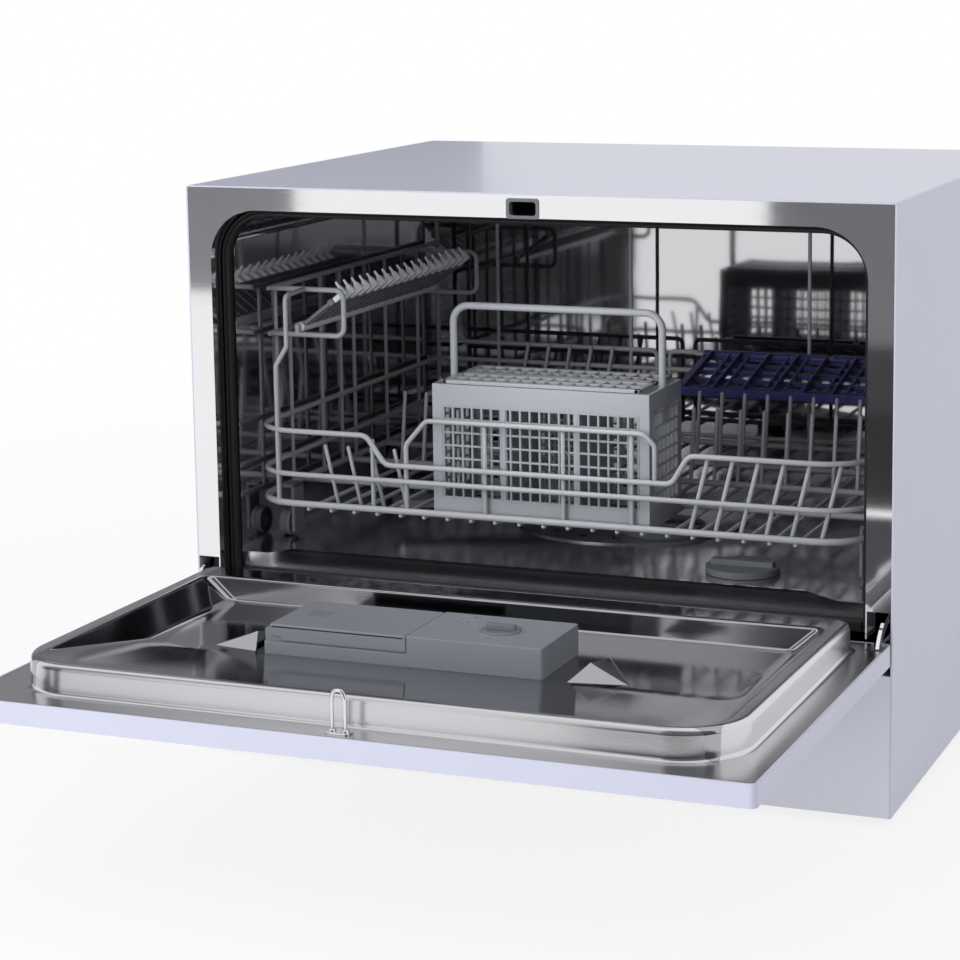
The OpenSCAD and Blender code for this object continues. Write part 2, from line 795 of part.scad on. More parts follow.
dip_left = basket_x - basket_w / 2 - 53;
dip_right = basket_x + basket_w / 2 + 19;
keep_left = basket_x - basket_w / 2;
keep_right = basket_x + basket_w / 2;
floor_pitch = 19.5;
floor_x = [for (i = [-10 : 10]) i * floor_pitch];
lean_left = -9;
lean_right = 15;

behind = frame_r + tine_r - weld;

module rack_front_fence() {
  f = rack_front;
  posts = [[dip_left + 4, upper_z - 3], [keep_left + 44, keep_z + 1],
    [keep_left + 107, keep_z + 1], [keep_right - 13, keep_z + 1]];
  corner_in = rack_corner - behind;
  end_x = fence_half + 1;
  slip = 0.06;
  color(wire_grey) from_front() {
    front_corners(rail_z, rail_r);
    front_corners(mid_z, frame_r);
    front_corners(upper_z, frame_r);
    bar([-end_x, f, rail_z], [end_x, f, rail_z], rail_r - slip);
    bar([-end_x, f, mid_z], [end_x, f, mid_z], frame_r - slip);
    wire([[-end_x, f, upper_z], [dip_left, f, upper_z], [dip_left + 16, f, dip_z],
      [dip_right, f, dip_z], [dip_right + 13, f, upper_z], [end_x, f, upper_z]], frame_r - slip);
    wire([[keep_left - 21, f + behind, rail_z - 1], [keep_left - 21, f + behind, keep_z - 20],
      [keep_left - 3, f + 1, keep_z], [keep_right - 3, f + 1, keep_z],
      [keep_right + 5, f + behind, keep_z - 9], [keep_right + 5, f + behind, dip_z - 3]], frame_r - 0.2);
    for (p = posts) bar([p[0], f + behind, rail_z - 1], [p[0], f + behind, p[1]], tine_r);
    for (i = [0 : 4]) let (x = dip_right + 12.5 + 19.2 * i)
      bar([x, f + behind, rail_z - 1], [x + lean_right, f + behind, upper_z + 1], tine_r);
    bar([fence_half + 6, f + rack_corner - sqrt(pow(corner_in, 2) - 36), rail_z - 1],
      [fence_half + 20, f + rack_corner - sqrt(pow(corner_in, 2) - 400), upper_z + 1], tine_r);
  }
}

module rack_floor() {
  color(wire_grey) from_front() {
    for (x = floor_x) bar([x, rack_front - 1, floor_z], [x, rack_back + 1, floor_z], tine_r);
    for (y = [rack_front + 90, rack_front + 175, rack_front + 250, rack_back - 30])
      bar([-rack_half, y, rail_z], [rack_half, y, rail_z], rail_r);
    for (i = [1 : 4]) let (x = floor_x[i])
      bar([x, rack_front + 14, floor_z], [x + lean_left, rack_front + 10, upper_z - 11], tine_r - 0.2);
  }
}

module side_rails(x, heights) {
  for (z = heights)
    bar([x, rack_front + rack_corner, z], [x, rack_back, z], z == rail_z ? rail_r : frame_r);
}

loop_z = [side_top_z - 36, side_top_z];
loop_x = -rack_half + 63.5;
shelf_axis = [-rack_half + 23, side_top_z - 31];

module stand_loop(y) {
  for (z = loop_z) bar([-rack_half, y, z], [loop_x + 1, y, z], frame_r - 0.2);
  bar([loop_x, y, loop_z[0] - 1], [loop_x, y, loop_z[1] + 1], frame_r - 0.4);
  bar([shelf_axis[0], y, loop_z[0] - 1], [shelf_axis[0], y, shelf_axis[1] + 3], frame_r);
}

module rack_left_frame() {
  first = rack_front + rack_corner;
  stand_y = [first + 4, rack_back - 60];
  color(wire_grey) from_front() {
    side_rails(-rack_half, [rail_z, mid_z, upper_z, loop_z[0], loop_z[1]]);
    for (y = [first + 12, first + 36, first + 92, first + 128, first + 154, first + 218, first + 286])
      bar([-rack_half, y, rail_z], [-rack_half, y, side_top_z], tine_r);
    for (y = stand_y) stand_loop(y);
    bar([shelf_axis[0], stand_y[0], shelf_axis[1]], [shelf_axis[0], stand_y[1], shelf_axis[1]], tine_r);
  }
}

module rack_right_frame() {
  first = rack_front + rack_corner;
  color(wire_grey) from_front() {
    side_rails(rack_half, [rail_z, mid_z, upper_z, side_top_z]);
    for (y = [first + 2 : 54 : rack_back - 20])
      bar([rack_half, y, rail_z], [rack_half, y, side_top_z], tine_r);
  }
}

wire_z = rail_z + 73;
shelf_hinge = [rack_back - 8, wire_z];
shelf_stays = [4, rack_half - 122, rack_half - 8];

module rack_back_frame() {
  b = rack_back;
  front = b - behind;
  color(wire_grey) from_front() {
    for (x = [-1, 1] * rack_half) bar([x, b, rail_z - 3], [x, b, back_top_z + 1], frame_r - 0.2);
    for (z = [rail_z, upper_z, back_top_z]) bar([-rack_half, b, z], [rack_half, b, z], frame_r);
    for (x = [[-rack_half, -36], [-24, rack_half]])
      bar([x[0] < -40 ? x[0] : x[0] - 1, b, wire_z], [x[1] < 0 ? x[1] + 1 : x[1], b, wire_z], frame_r - 0.1);
    for (x = [-36, -24]) bar([x, b, rail_z], [x, b, wire_z + 1], tine_r);
    for (x = [-rack_half + 59, -60, 102, rack_half - 59]) bar([x, b, rail_z], [x, b, back_top_z], tine_r);
    for (i = [0 : 4]) bar([-170 + 20 * i, front, rail_z - 1], [-156 + 20 * i, front, wire_z + 1], tine_r);
    for (x = shelf_stays) bar([x, b, wire_z], [x, shelf_hinge[0], wire_z], tine_r - 0.2);
    bar([shelf_stays[0] - 3, shelf_hinge[0], wire_z], [shelf_stays[2] + 3, shelf_hinge[0], wire_z], tine_r);
  }
}

module tine_rows() {
  color(wire_grey) from_front() for (y = [rack_front + 175, rack_front + 250]) {
    for (x = floor_x) bar([x, y, floor_z], [x, y + 10, upper_z + 2], tine_r);
  }
}

bracket_x = roller_x - roller_w / 2 - 4.5;

module roller_brackets() {
  color(grey) from_front() both_sides() for (y = roller_y) {
    difference() {
      block([bracket_x, y - 9, roller_z - 7], [bracket_x + 3, y + 9, rail_z + 4]);
      block([bracket_x - 1, y - 4, rail_z - 9], [bracket_x + 4, y + 4, rail_z - 5]);
    }
    translate([bracket_x + 1, y, roller_z]) rotate([0, 90, 0])
      cylinder(h = roller_w + 4.5, r = axle_r, $fn = 48);
    block([bracket_x, y - 9, rail_z + 1], [rack_half - frame_r + 0.3, y + 9, rail_z + 4]);
  }
}

module roller(side, y) {
  color(grey) from_front() translate([side * roller_x - roller_w / 2, y, roller_z]) rotate([0, 90, 0])
    difference() {
      cylinder(h = roller_w, r = roller_r, $fn = 64);
      translate([0, 0, -1]) cylinder(h = roller_w + 2, r = axle_r + run_gap, $fn = 48);
    }
}
module roller_front_left() { roller(-1, roller_y[0]); }
module roller_front_right() { roller(1, roller_y[0]); }
module roller_back_left() { roller(-1, roller_y[1]); }
module roller_back_right() { roller(1, roller_y[1]); }

// ---------------------------------------------------------------- cutlery basket

basket_left = basket_x - basket_w / 2;
basket_right = basket_x + basket_w / 2;
lid_split = 0.6;

// A plate with a grid of square-cornered windows
module grille(low, high, border, cells, bar_w) {
  span = [high[0] - low[0] - 2 * border[0], high[1] - low[1] - 2 * border[1]];
  pitch = [(span[0] + bar_w) / cells[0], (span[1] + bar_w) / cells[1]];
  difference() {
    translate(low) square(high - low);
    for (i = [0 : cells[0] - 1], j = [0 : cells[1] - 1])
      translate([low[0] + border[0] + i * pitch[0], low[1] + border[1] + j * pitch[1]])
        square([pitch[0] - bar_w, pitch[1] - bar_w]);
  }
}

module cutlery_basket() {
  low = [basket_left, basket_z];
  high = [basket_right, basket_top];
  color(grey) from_front() {
    for (y = [basket_front, basket_back - basket_wall])
      upright(y, basket_wall) grille(low, high, [4.5, 11], [6, 3], 5);
    for (x = [basket_left, basket_right - basket_wall])
      sideways(x, basket_wall)
        grille([basket_front, basket_z], [basket_back, basket_top], [4, 11], [2, 3], 5);
    for (x = [basket_left + basket_w / 3, basket_left + 2 * basket_w / 3])
      sideways(x, basket_wall) translate([basket_front + weld, basket_z])
        square([basket_d - 2 * weld, basket_h - 8]);
    translate([0, 0, basket_z]) linear_extrude(basket_wall)
      grille([basket_left, basket_front], [basket_right, basket_back], [4, 4], [6, 2], 5);
  }
}

module basket_lid(front) {
  hinge_y = front ? basket_front : basket_back;
  low_y = front ? basket_front : basket_mid + lid_split / 2;
  high_y = front ? basket_mid - lid_split / 2 : basket_back;
  low_x = basket_left + 8;
  high_x = basket_right - 8;
  color(grey) from_front() translate([0, 0, basket_top + fit_gap]) linear_extrude(3)
    grille([low_x, low_y], [high_x, high_y], [4, 4], [14, 2], 3);
}
module basket_lid_front() { basket_lid(true); }
module basket_lid_back() { basket_lid(false); }

module basket_handle() {
  leg = basket_w / 2 - 2.5;
  top = basket_top + handle_h;
  thick = 5.6;
  color(grey) from_front() translate([basket_x, 0, 0]) upright(basket_mid - thick / 2, thick) difference() {
    arch([-leg - thick / 2, basket_top - 12], [leg + thick / 2, top], 14);
    arch([-leg + thick / 2, basket_top - 20], [leg - thick / 2, top - thick], 9);
  }
}

// ---------------------------------------------------------------- cup shelves

module left_cup_shelf() {
  first = rack_front + rack_corner + 7;
  last = rack_back - 63;
  long = 44;
  tilt = 37;
  color(white) from_front() translate([shelf_axis[0], 0, shelf_axis[1]]) rotate([0, -tilt, 0]) difference() {
    union() {
      translate([0, first, 0]) rotate([-90, 0, 0]) cylinder(h = last - first, r = 4, $fn = 48);
      block([0, first, -1.5], [long, last, 1.5]);
      for (y = [first + 6 : 14 : last - 6]) block([long - 1, y - 3, -2.5], [long + 5, y + 3, 2.5]);
    }
    translate([0, first - 1, 0]) rotate([-90, 0, 0])
      cylinder(h = last - first + 2, r = tine_r + run_gap, $fn = 48);
  }
}

module right_cup_shelf() {
  left = shelf_stays[0] + 6;
  right = shelf_stays[2] - 4;
  deep = 86;
  slope = 12.5;
  color(navy) from_front() translate([0, shelf_hinge[0], shelf_hinge[1]]) rotate([slope, 0, 0]) difference() {
    union() {
      translate([left, 0, 0]) rotate([0, 90, 0]) cylinder(h = right - left, r = 4, $fn = 48);
      translate([0, 0, -1.2]) linear_extrude(2.4)
        grille([left, -deep], [right, 0], [8, 8], [12, 3], 6);
      block([left, -deep, -4], [right, -deep + 2.5, 4]);
      for (x = [left + 60 : 26 : right - 4]) block([x, -deep + 1, 0], [x + 2.4, -3.8, 6]);
    }
    translate([left - 1, 0, 0]) rotate([0, 90, 0])
      cylinder(h = right - left + 2, r = tine_r + run_gap, $fn = 48);
    block([shelf_stays[1] - 2.6, -6, -6], [shelf_stays[1] + 2.6, 6, 6]);
  }
}

cabinet_wrap();
rear_panel();
base_tray();
feet();
fascia();
display_window();
power_button();
program_button();
delay_button();
start_button();
control_board();
front_frame();
tub();
door_seal();
hinge_brackets();
hinge_springs();
latch_housing();
latch_bolt();
filter_plate();
filter_cup();
salt_cap();
softener();
sump();
wash_pump();
drain_pump();
inlet_valve();
drain_spigot();
cord_gland();
float_switch();
air_break_tank();
spray_hub();
spray_arm();
door_outer_pan();
door_inner_panel();
door_insulation();
handle_cup();
hinge_blocks();
hinge_pins();
hinge_arms();
latch_hook();
dispenser_body();
dispenser_lid();
rinse_aid_cap();
rack_front_fence();
rack_floor();
rack_left_frame();
rack_right_frame();
rack_back_frame();
tine_rows();
roller_brackets();
roller_front_left();
roller_front_right();
roller_back_left();
roller_back_right();
cutlery_basket();
basket_lid_front();
basket_lid_back();
basket_handle();
left_cup_shelf();
right_cup_shelf();
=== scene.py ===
# %% [markdown]
# # A countertop dishwasher with its door open
# The steel, wire and plastic parts of this machine come from a solid model, which is loaded here
# as a fixed frame in metres. This lesson dresses it: it gives every part a finish made of shader
# nodes, and it rebuilds the parts where a smooth bend or a rounded edge catches the light.

import json
import math

import bmesh
import bpy
from mathutils import Matrix, Vector


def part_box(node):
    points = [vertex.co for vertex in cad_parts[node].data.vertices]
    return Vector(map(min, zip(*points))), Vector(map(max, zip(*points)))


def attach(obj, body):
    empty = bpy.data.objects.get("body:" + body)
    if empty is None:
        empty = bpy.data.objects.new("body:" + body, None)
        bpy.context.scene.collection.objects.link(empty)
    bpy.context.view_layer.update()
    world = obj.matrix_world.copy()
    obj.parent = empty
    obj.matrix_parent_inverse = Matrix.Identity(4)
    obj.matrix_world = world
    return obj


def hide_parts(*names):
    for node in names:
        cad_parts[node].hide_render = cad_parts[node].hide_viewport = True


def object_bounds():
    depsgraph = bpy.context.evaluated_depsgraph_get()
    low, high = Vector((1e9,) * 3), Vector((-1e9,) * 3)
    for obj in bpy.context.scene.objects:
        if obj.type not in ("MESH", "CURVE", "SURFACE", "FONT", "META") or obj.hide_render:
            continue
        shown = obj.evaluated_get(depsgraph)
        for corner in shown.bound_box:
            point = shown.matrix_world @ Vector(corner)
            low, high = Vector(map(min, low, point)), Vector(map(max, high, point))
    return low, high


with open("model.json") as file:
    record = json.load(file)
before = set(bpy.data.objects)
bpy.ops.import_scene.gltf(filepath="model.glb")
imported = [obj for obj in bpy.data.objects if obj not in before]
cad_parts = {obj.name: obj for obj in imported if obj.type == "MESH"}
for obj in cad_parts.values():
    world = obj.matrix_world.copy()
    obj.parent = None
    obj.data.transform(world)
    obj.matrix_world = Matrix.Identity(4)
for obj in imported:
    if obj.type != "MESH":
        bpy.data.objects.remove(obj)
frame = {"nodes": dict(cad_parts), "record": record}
cad_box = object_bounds()
nodes = frame["nodes"]

# %% [markdown]
# The solid model counts from the middle of its own bounding box. A maker counts from the cabinet:
# X from its centre line, Y back from its front face, Z up from its underside. `at` turns such a
# point, in millimetres, into the frame's metres, so that the sizes below read as on a workshop
# drawing. `linked` makes an object and puts it in the scene.

# %% Workshop coordinates
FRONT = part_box("front_frame")[0][1] * 1000
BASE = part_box("fascia")[0][2] * 1000


def at(x, y, z):
    return Vector((x / 1000, (y + FRONT) / 1000, (z + BASE) / 1000))


def linked(name, data):
    item = bpy.data.objects.new(name, data)
    bpy.context.scene.collection.objects.link(item)
    return item


def limits(node):
    """A node's lowest and highest corner in workshop millimetres."""
    low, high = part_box(node)
    shift = Vector((0, FRONT, BASE))
    return Vector(low) * 1000 - shift, Vector(high) * 1000 - shift


print("front face at y =", round(FRONT, 2), "mm, underside at z =", round(BASE, 2), "mm")

# %% [markdown]
# The camera stands to the right of the machine, a little above the open door, with a long lens.
# The lens is moved slightly off the middle of the picture, as a product camera often is, so
# upright edges stay nearly upright.

# %% Camera
SENSOR, PICTURE = 36, 960
FOCAL_PIXELS, CENTRE_PIXELS = 2614.8085, (520, 370)
camera_data = bpy.data.cameras.new("camera")
camera_data.sensor_width = SENSOR
camera_data.lens = FOCAL_PIXELS * SENSOR / PICTURE
camera_data.shift_x = (PICTURE / 2 - CENTRE_PIXELS[0]) / PICTURE
camera_data.shift_y = (CENTRE_PIXELS[1] - PICTURE / 2) / PICTURE
camera_data.clip_start, camera_data.clip_end = 0.05, 60
camera = linked("camera", camera_data)
right = Vector((0.9285772, 0.3709349, -0.0123173))
ahead = Vector((-0.3679855, 0.9158617, -0.1605740))
up = Vector((-0.0482815, 0.1536380, 0.9869469))
turn = Matrix((right, up, -ahead)).transposed().to_4x4()
camera.matrix_world = Matrix.Translation(at(697.694, -1745.220, 615.001)) @ turn
bpy.context.scene.camera = camera
print("lens", round(camera_data.lens, 2), "mm, camera at", [round(v, 3) for v in camera.location])

# %% [markdown]
# ## Finishes
# A finish is a small net of shader nodes. Writing such a net link by link is slow to read, so two
# small classes help: `Net` adds nodes to a tree, and `Value` wraps one output, so that nodes can
# be combined with +, -, * and / as ordinary numbers are.

# %% Node helpers
def operator(operation, swapped=False):
    def method(self, other):
        a, b = (other, self) if swapped else (self, other)
        return self.net.add("ShaderNodeMath", {"operation": operation}, a, b)
    return method


class Value:
    """One output of a node. Arithmetic on it adds Math nodes."""

    def __init__(self, net, socket):
        self.net, self.socket = net, socket

    __add__, __radd__ = operator("ADD"), operator("ADD", True)
    __sub__, __rsub__ = operator("SUBTRACT"), operator("SUBTRACT", True)
    __mul__, __rmul__ = operator("MULTIPLY"), operator("MULTIPLY", True)
    __truediv__, __rtruediv__ = operator("DIVIDE"), operator("DIVIDE", True)
    __gt__, __lt__ = operator("GREATER_THAN"), operator("LESS_THAN")

    def part(self, name):
        """Another output of the same node."""
        return Value(self.net, self.socket.node.outputs[name])


class Net:
    """A node tree that is being written."""

    def __init__(self, tree):
        self.tree = tree

    def plug(self, socket, value):
        if isinstance(value, Value):
            self.tree.links.new(value.socket, socket)
        elif value is not None:
            socket.default_value = value

    def add(self, kind, settings=None, *inputs, **named):
        node = self.tree.nodes.new(kind)
        for key, value in (settings or {}).items():
            setattr(node, key, value)
        for socket, value in zip(node.inputs, inputs):
            self.plug(socket, value)
        for key, value in named.items():
            self.plug(node.inputs[key.replace("_", " ")], value)
        return Value(self, node.outputs[0]) if node.outputs else node


print("ready to write shader nodes")

# %% [markdown]
# Every finish starts from the Principled shader. Numbers that are the same all over are set on
# its sockets. What varies, such as colour, roughness and the normal, comes from noise in the
# object's own coordinates, so it stays on the part when the part moves. `mottle` is the shared
# trick: it fades a colour or a number a little between two values.

# %% Finish helpers
finishes = {}


class Finish(Net):
    def __init__(self, name, colour, roughness, metallic=0.0, **constants):
        self.material = bpy.data.materials.new(name)
        self.material.use_nodes = True
        self.material.diffuse_color = (*colour, 1)
        super().__init__(self.material.node_tree)
        self.shader = self.tree.nodes["Principled BSDF"]
        self.set(Base_Color=(*colour, 1), Roughness=roughness, Metallic=metallic, **constants)
        self.place = self.add("ShaderNodeTexCoord").part("Object")
        finishes[name] = self.material

    def set(self, **values):
        for key, value in values.items():
            self.plug(self.shader.inputs[key.replace("_", " ")], value)
        return self

    def noise(self, scale, detail=3.0, roughness=0.5, where=None):
        return self.add("ShaderNodeTexNoise", {}, Vector=where or self.place, Scale=scale,
                        Detail=detail, Roughness=roughness)

    def stretched(self, x, y, z):
        return self.add("ShaderNodeMapping", {}, Vector=self.place, Scale=(x, y, z))

    def mottle(self, factor, low, high):
        """A value, or a colour, that goes from low to high as factor goes from 0 to 1."""
        if isinstance(low, tuple):
            node = self.add("ShaderNodeMix", {"data_type": "RGBA"}).socket.node
            self.plug(node.inputs[0], factor)
            node.inputs[6].default_value = (*low, 1)
            node.inputs[7].default_value = (*high, 1)
            return Value(self, node.outputs[2])
        return self.add("ShaderNodeMapRange", {}, factor, 0.0, 1.0, low, high)

    def bump(self, height, strength, distance):
        return self.add("ShaderNodeBump", {}, Strength=strength, Distance=distance, Height=height)


print("ready to mix finishes")

# %% [markdown]
# ### Sheet metal
# The cabinet and the door skin are steel sheet with a pale, slightly violet powder coat. Its
# surface has the faint ripple of orange peel. The tub, the front frame and the door liner are
# stainless steel, rolled to a mirror: almost no texture, but the sheet is never quite flat, which
# bends the reflections. Water stands on the floor of the tub and dulls it, so below a certain
# height the steel is less sharp. There its colour is also painted lighter: painted light that
# brightens the dark floor of the tub.

# %% Coated sheet
enamel = Finish("white_enamel", (0.565, 0.575, 0.685), 0.36, Coat_Weight=0.12, Coat_Roughness=0.12)
ripple = enamel.noise(420, 2)
enamel.set(Base_Color=enamel.mottle(enamel.noise(6), (0.555, 0.565, 0.675), (0.575, 0.585, 0.695)),
           Roughness=enamel.mottle(enamel.noise(60), 0.30, 0.38),
           Normal=enamel.bump(ripple, 0.06, 0.0004))
print("coated sheet:", len(enamel.tree.nodes), "nodes")

# %% Polished sheet
mirror = Finish("polished_steel", (0.62, 0.62, 0.64), 0.04, 1.0)
TUB_FLOOR_TOP = 153.0
waves = mirror.noise(5.5, 1) + mirror.noise(17, 1) * 0.2
smears = mirror.noise(2.2, 4, 0.6, mirror.stretched(1, 1, 3))
height = mirror.add("ShaderNodeSeparateXYZ", {}, mirror.place).part("Z")
# Painted light: below the top of the tub floor the colour is painted lighter, and the steel is
# rougher.
floor_dulled_and_painted_light = 1 - (height > (TUB_FLOOR_TOP + BASE) / 1000)
mirror.set(Base_Color=mirror.mottle(smears * 0.3 + floor_dulled_and_painted_light * 0.7, (0.59, 0.59, 0.61),
                                    (0.86, 0.86, 0.88)),
           Roughness=mirror.mottle(smears, 0.03, 0.07) + floor_dulled_and_painted_light * 0.10,
           Normal=mirror.bump(waves, 0.05, 0.010))

face = Finish("face_steel", (0.84, 0.84, 0.85), 0.05, 1.0)
rolled = face.noise(30, 4, 0.6, face.stretched(1, 1, 20))
face.set(Base_Color=face.mottle(face.noise(9), (0.82, 0.82, 0.83), (0.87, 0.87, 0.88)),
         Roughness=face.mottle(rolled, 0.03, 0.08),
         Normal=face.bump(face.noise(5, 1), 0.02, 0.004))
print("tub:", len(mirror.tree.nodes), "nodes, front frame:", len(face.tree.nodes), "nodes")

# %% [markdown]
# The door liner is brighter and less sharp on its flange and slopes than in its dish. It is one
# sheet, so the darker dish is painted shade and the brighter flange and slopes are painted light.
# `outer` is 1 outside the dish, which is told by the distance from the centre line and from the
# tub.

# %% Liner sheet metal
DISH_SIDE, DISH_END = 241.5, -300.0
liner = Finish("liner_steel", (0.64, 0.64, 0.66), 0.2, 1.0)
grain = liner.noise(30, 4, 0.6, liner.stretched(1, 26, 26))
spot = liner.add("ShaderNodeSeparateXYZ", {}, liner.place)
across = liner.add("ShaderNodeMath", {"operation": "ABSOLUTE"}, spot)
forward = spot.part("Y") * -1
outer = liner.mottle((across > DISH_SIDE / 1000) + (forward > -(DISH_END + FRONT) / 1000), 0.0, 1.0)
# Painted shade in the dish, painted light on the flange and slopes of the same sheet.
liner.set(Base_Color=liner.mottle(outer, (0.40, 0.40, 0.42), (0.66, 0.66, 0.68)),
          Roughness=liner.mottle(grain, 0.06, 0.13) + outer * 0.14,
          Normal=liner.bump(grain, 0.03, 0.0006))
print("sheet finishes:", len(finishes))

# %% [markdown]
# ### Other metals
# Brackets, pins and the spray arm are satin stainless, with a short brushed grain. The hinge arms
# are bright plated. The rear panel is galvanised, which shows as flat crystals of slightly
# different grey.

# %% Satin, bright and galvanised metal
satin = Finish("satin_steel", (0.52, 0.52, 0.54), 0.3, 1.0)
brushed = satin.noise(40, 5, 0.65, satin.stretched(1, 30, 1))
satin.set(Base_Color=satin.mottle(brushed, (0.46, 0.46, 0.48), (0.58, 0.58, 0.60)),
          Roughness=satin.mottle(brushed, 0.24, 0.40),
          Normal=satin.bump(brushed, 0.08, 0.0005))

bright = Finish("bright_steel", (0.80, 0.80, 0.83), 0.06, 1.0)
bright.set(Roughness=bright.mottle(bright.noise(40), 0.04, 0.12))

zinc = Finish("zinc_sheet", (0.55, 0.56, 0.58), 0.4, 0.8)
flakes = zinc.add("ShaderNodeTexVoronoi", {}, Vector=zinc.place, Scale=70.0)
tone = zinc.add("ShaderNodeSeparateColor", {}, flakes.part("Color"))
zinc.set(Base_Color=zinc.mottle(tone, (0.50, 0.51, 0.53), (0.60, 0.61, 0.63)),
         Roughness=zinc.mottle(tone, 0.33, 0.50))
print("metal finishes:", list(finishes))

# %% [markdown]
# ### Plastics and rubber
# Moulded plastic differs mostly in colour and in how smooth the mould was. One function makes
# them all: it adds the fine grain of the mould and a slow change in gloss, so large faces don't
# look drawn.

# %% Moulded plastics
def moulded(name, colour, roughness, grain_scale=900, grain_depth=0.10):
    plastic = Finish(name, colour, roughness)
    deeper = tuple(c * 0.93 for c in colour)
    fine = plastic.noise(grain_scale, 2)
    slow = plastic.noise(14, 3)
    plastic.set(Base_Color=plastic.mottle(slow, deeper, colour),
                Roughness=plastic.mottle(slow, roughness * 0.88, roughness * 1.12),
                Normal=plastic.bump(fine, grain_depth, 0.0002))


moulded("white_plastic", (0.76, 0.77, 0.83), 0.26, 700, 0.04)
moulded("clear_white_plastic", (0.74, 0.75, 0.73), 0.42)
moulded("black_plastic", (0.022, 0.022, 0.025), 0.48)
moulded("grey_plastic", (0.155, 0.165, 0.180), 0.42, 1100, 0.12)
moulded("dispenser_grey", (0.225, 0.238, 0.262), 0.40, 1100, 0.12)
moulded("light_grey_plastic", (0.17, 0.175, 0.19), 0.38, 900, 0.08)
moulded("basket_grey", (0.29, 0.30, 0.325), 0.40, 900, 0.08)
moulded("pale_plastic", (0.80, 0.81, 0.84), 0.36, 900, 0.08)
moulded("navy_plastic", (0.056, 0.053, 0.195), 0.34, 900, 0.08)
moulded("black_rubber", (0.012, 0.012, 0.013), 0.62, 1400, 0.2)
moulded("dark_window", (0.006, 0.006, 0.008), 0.08, 300, 0.01)
print("plastics and rubber made; finishes so far:", len(finishes))

# %% [markdown]
# The rack is steel wire dipped in grey nylon. The coat is thick and soft-looking, with a low
# sheen and tiny specks. The circuit board has a lacquer with paler tracks, and the mat behind the
# door skin is felt.

# %% Wire coat, board and felt
coat = Finish("coated_wire", (0.34, 0.35, 0.37), 0.28)
specks = coat.noise(900, 2)
coat.set(Base_Color=coat.mottle(coat.noise(25), (0.31, 0.32, 0.34), (0.38, 0.39, 0.41)),
         Roughness=coat.mottle(specks, 0.24, 0.36), Normal=coat.bump(specks, 0.12, 0.0002))

board = Finish("circuit_board", (0.02, 0.13, 0.05), 0.3)
tracks = board.add("ShaderNodeTexBrick", {"offset": 0.37}, Vector=board.place, Scale=60.0,
                   Color1=(0.02, 0.12, 0.05, 1), Color2=(0.025, 0.15, 0.06, 1),
                   Mortar=(0.09, 0.27, 0.12, 1))
board.set(Base_Color=tracks, Roughness=board.mottle(board.noise(80), 0.22, 0.4))

felt = Finish("felt_mat", (0.10, 0.10, 0.105), 0.95)
fibres = felt.noise(500, 6, 0.7)
felt.set(Base_Color=felt.mottle(fibres, (0.07, 0.07, 0.075), (0.15, 0.15, 0.155)),
         Normal=felt.bump(fibres, 0.5, 0.001))
print("finishes in all:", len(finishes))

# %% [markdown]
# The record names a finish slot for every node of the frame. Each node takes the finish of its
# slot, and the nodes that are rebuilt further down are hidden there. Only the hinge blocks take
# another finish than their slot says: on the real machine the metal of the hinge shows there.

# %% Dress the frame's own nodes
record = frame["record"]
slot_of = {part["node"]: part["material_slot"] for part in record["subparts"]}
for name, node in nodes.items():
    finish = finishes["satin_steel" if name == "hinge_blocks" else slot_of[name]]
    if not node.data.materials:
        node.data.materials.append(finish)
    for place in node.material_slots:
        place.material = finish
print("dressed", len(slot_of), "nodes with", len(set(slot_of.values())), "finishes")

# %% [markdown]
# ## Helpers for meshes
# Most parts here are one of four kinds: a stack of outlines joined by faces (a loft), a turned
# shape, a pressed plate with soft edges, or wire. `keep` turns any finished mesh into a piece: it
# gives it its finish, hangs it on the body of the plain solid that it stands for, and hides that
# solid unless told not to. Its faces are shaded smooth up to a sharp angle, and the weighted
# normals keep large flat faces flat.

# %% Keep a piece
SHARP = math.radians(38)
body_of = {node: body for body, owned in record["behaviour"]["bodies"].items() for node in owned}
pieces = []


def evaluated(item):
    """A new mesh: the item's own after its modifiers."""
    graph = bpy.context.evaluated_depsgraph_get()
    return bpy.data.meshes.new_from_object(item.evaluated_get(graph), depsgraph=graph)


def keep(name, mesh, finish, stands_for, soft_below=SHARP, replaces=True):
    """Makes a piece that rides with the node it stands for, has the given finish, and may replace
    it.
    """
    piece = linked(name, mesh)
    if not mesh.materials:
        mesh.materials.append(finishes[finish])
    mesh.shade_smooth()
    if soft_below:
        mesh.set_sharp_from_angle(angle=soft_below)
        piece.modifiers.new("flat_faces", "WEIGHTED_NORMAL").keep_sharp = True
        piece.data = evaluated(piece)
        piece.modifiers.clear()
        bpy.data.meshes.remove(mesh)
        mesh = piece.data
    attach(piece, body_of[stands_for])
    if replaces:
        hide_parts(stands_for)
    pieces.append(name)
    print(name.replace("_", " "), "has", len(mesh.polygons), "faces")


print("bodies that can carry a piece:", len(set(body_of.values())))

# %% [markdown]
# `Shape` collects lofts, turned shapes and blocks in one mesh, in workshop millimetres. `done`
# merges doubled points, turns the faces outwards and gives the mesh in metres.

# %% Outlines and shapes
def rounded_ring(x0, x1, y0, y1, radius, steps=8):
    """Points round a rectangle, the same number for any size. radius: one, or (low y, high y)."""
    low_r, high_r = radius if isinstance(radius, tuple) else (radius, radius)
    points = []
    corners = ((x1 - low_r, y0 + low_r, low_r, -90), (x1 - high_r, y1 - high_r, high_r, 0),
               (x0 + high_r, y1 - high_r, high_r, 90), (x0 + low_r, y0 + low_r, low_r, 180))
    for cx, cy, r, start in corners:
        for i in range(steps + 1):
            a = math.radians(start + 90 * i / steps)
            points.append((cx + r * math.cos(a), cy + r * math.sin(a)))
    return points


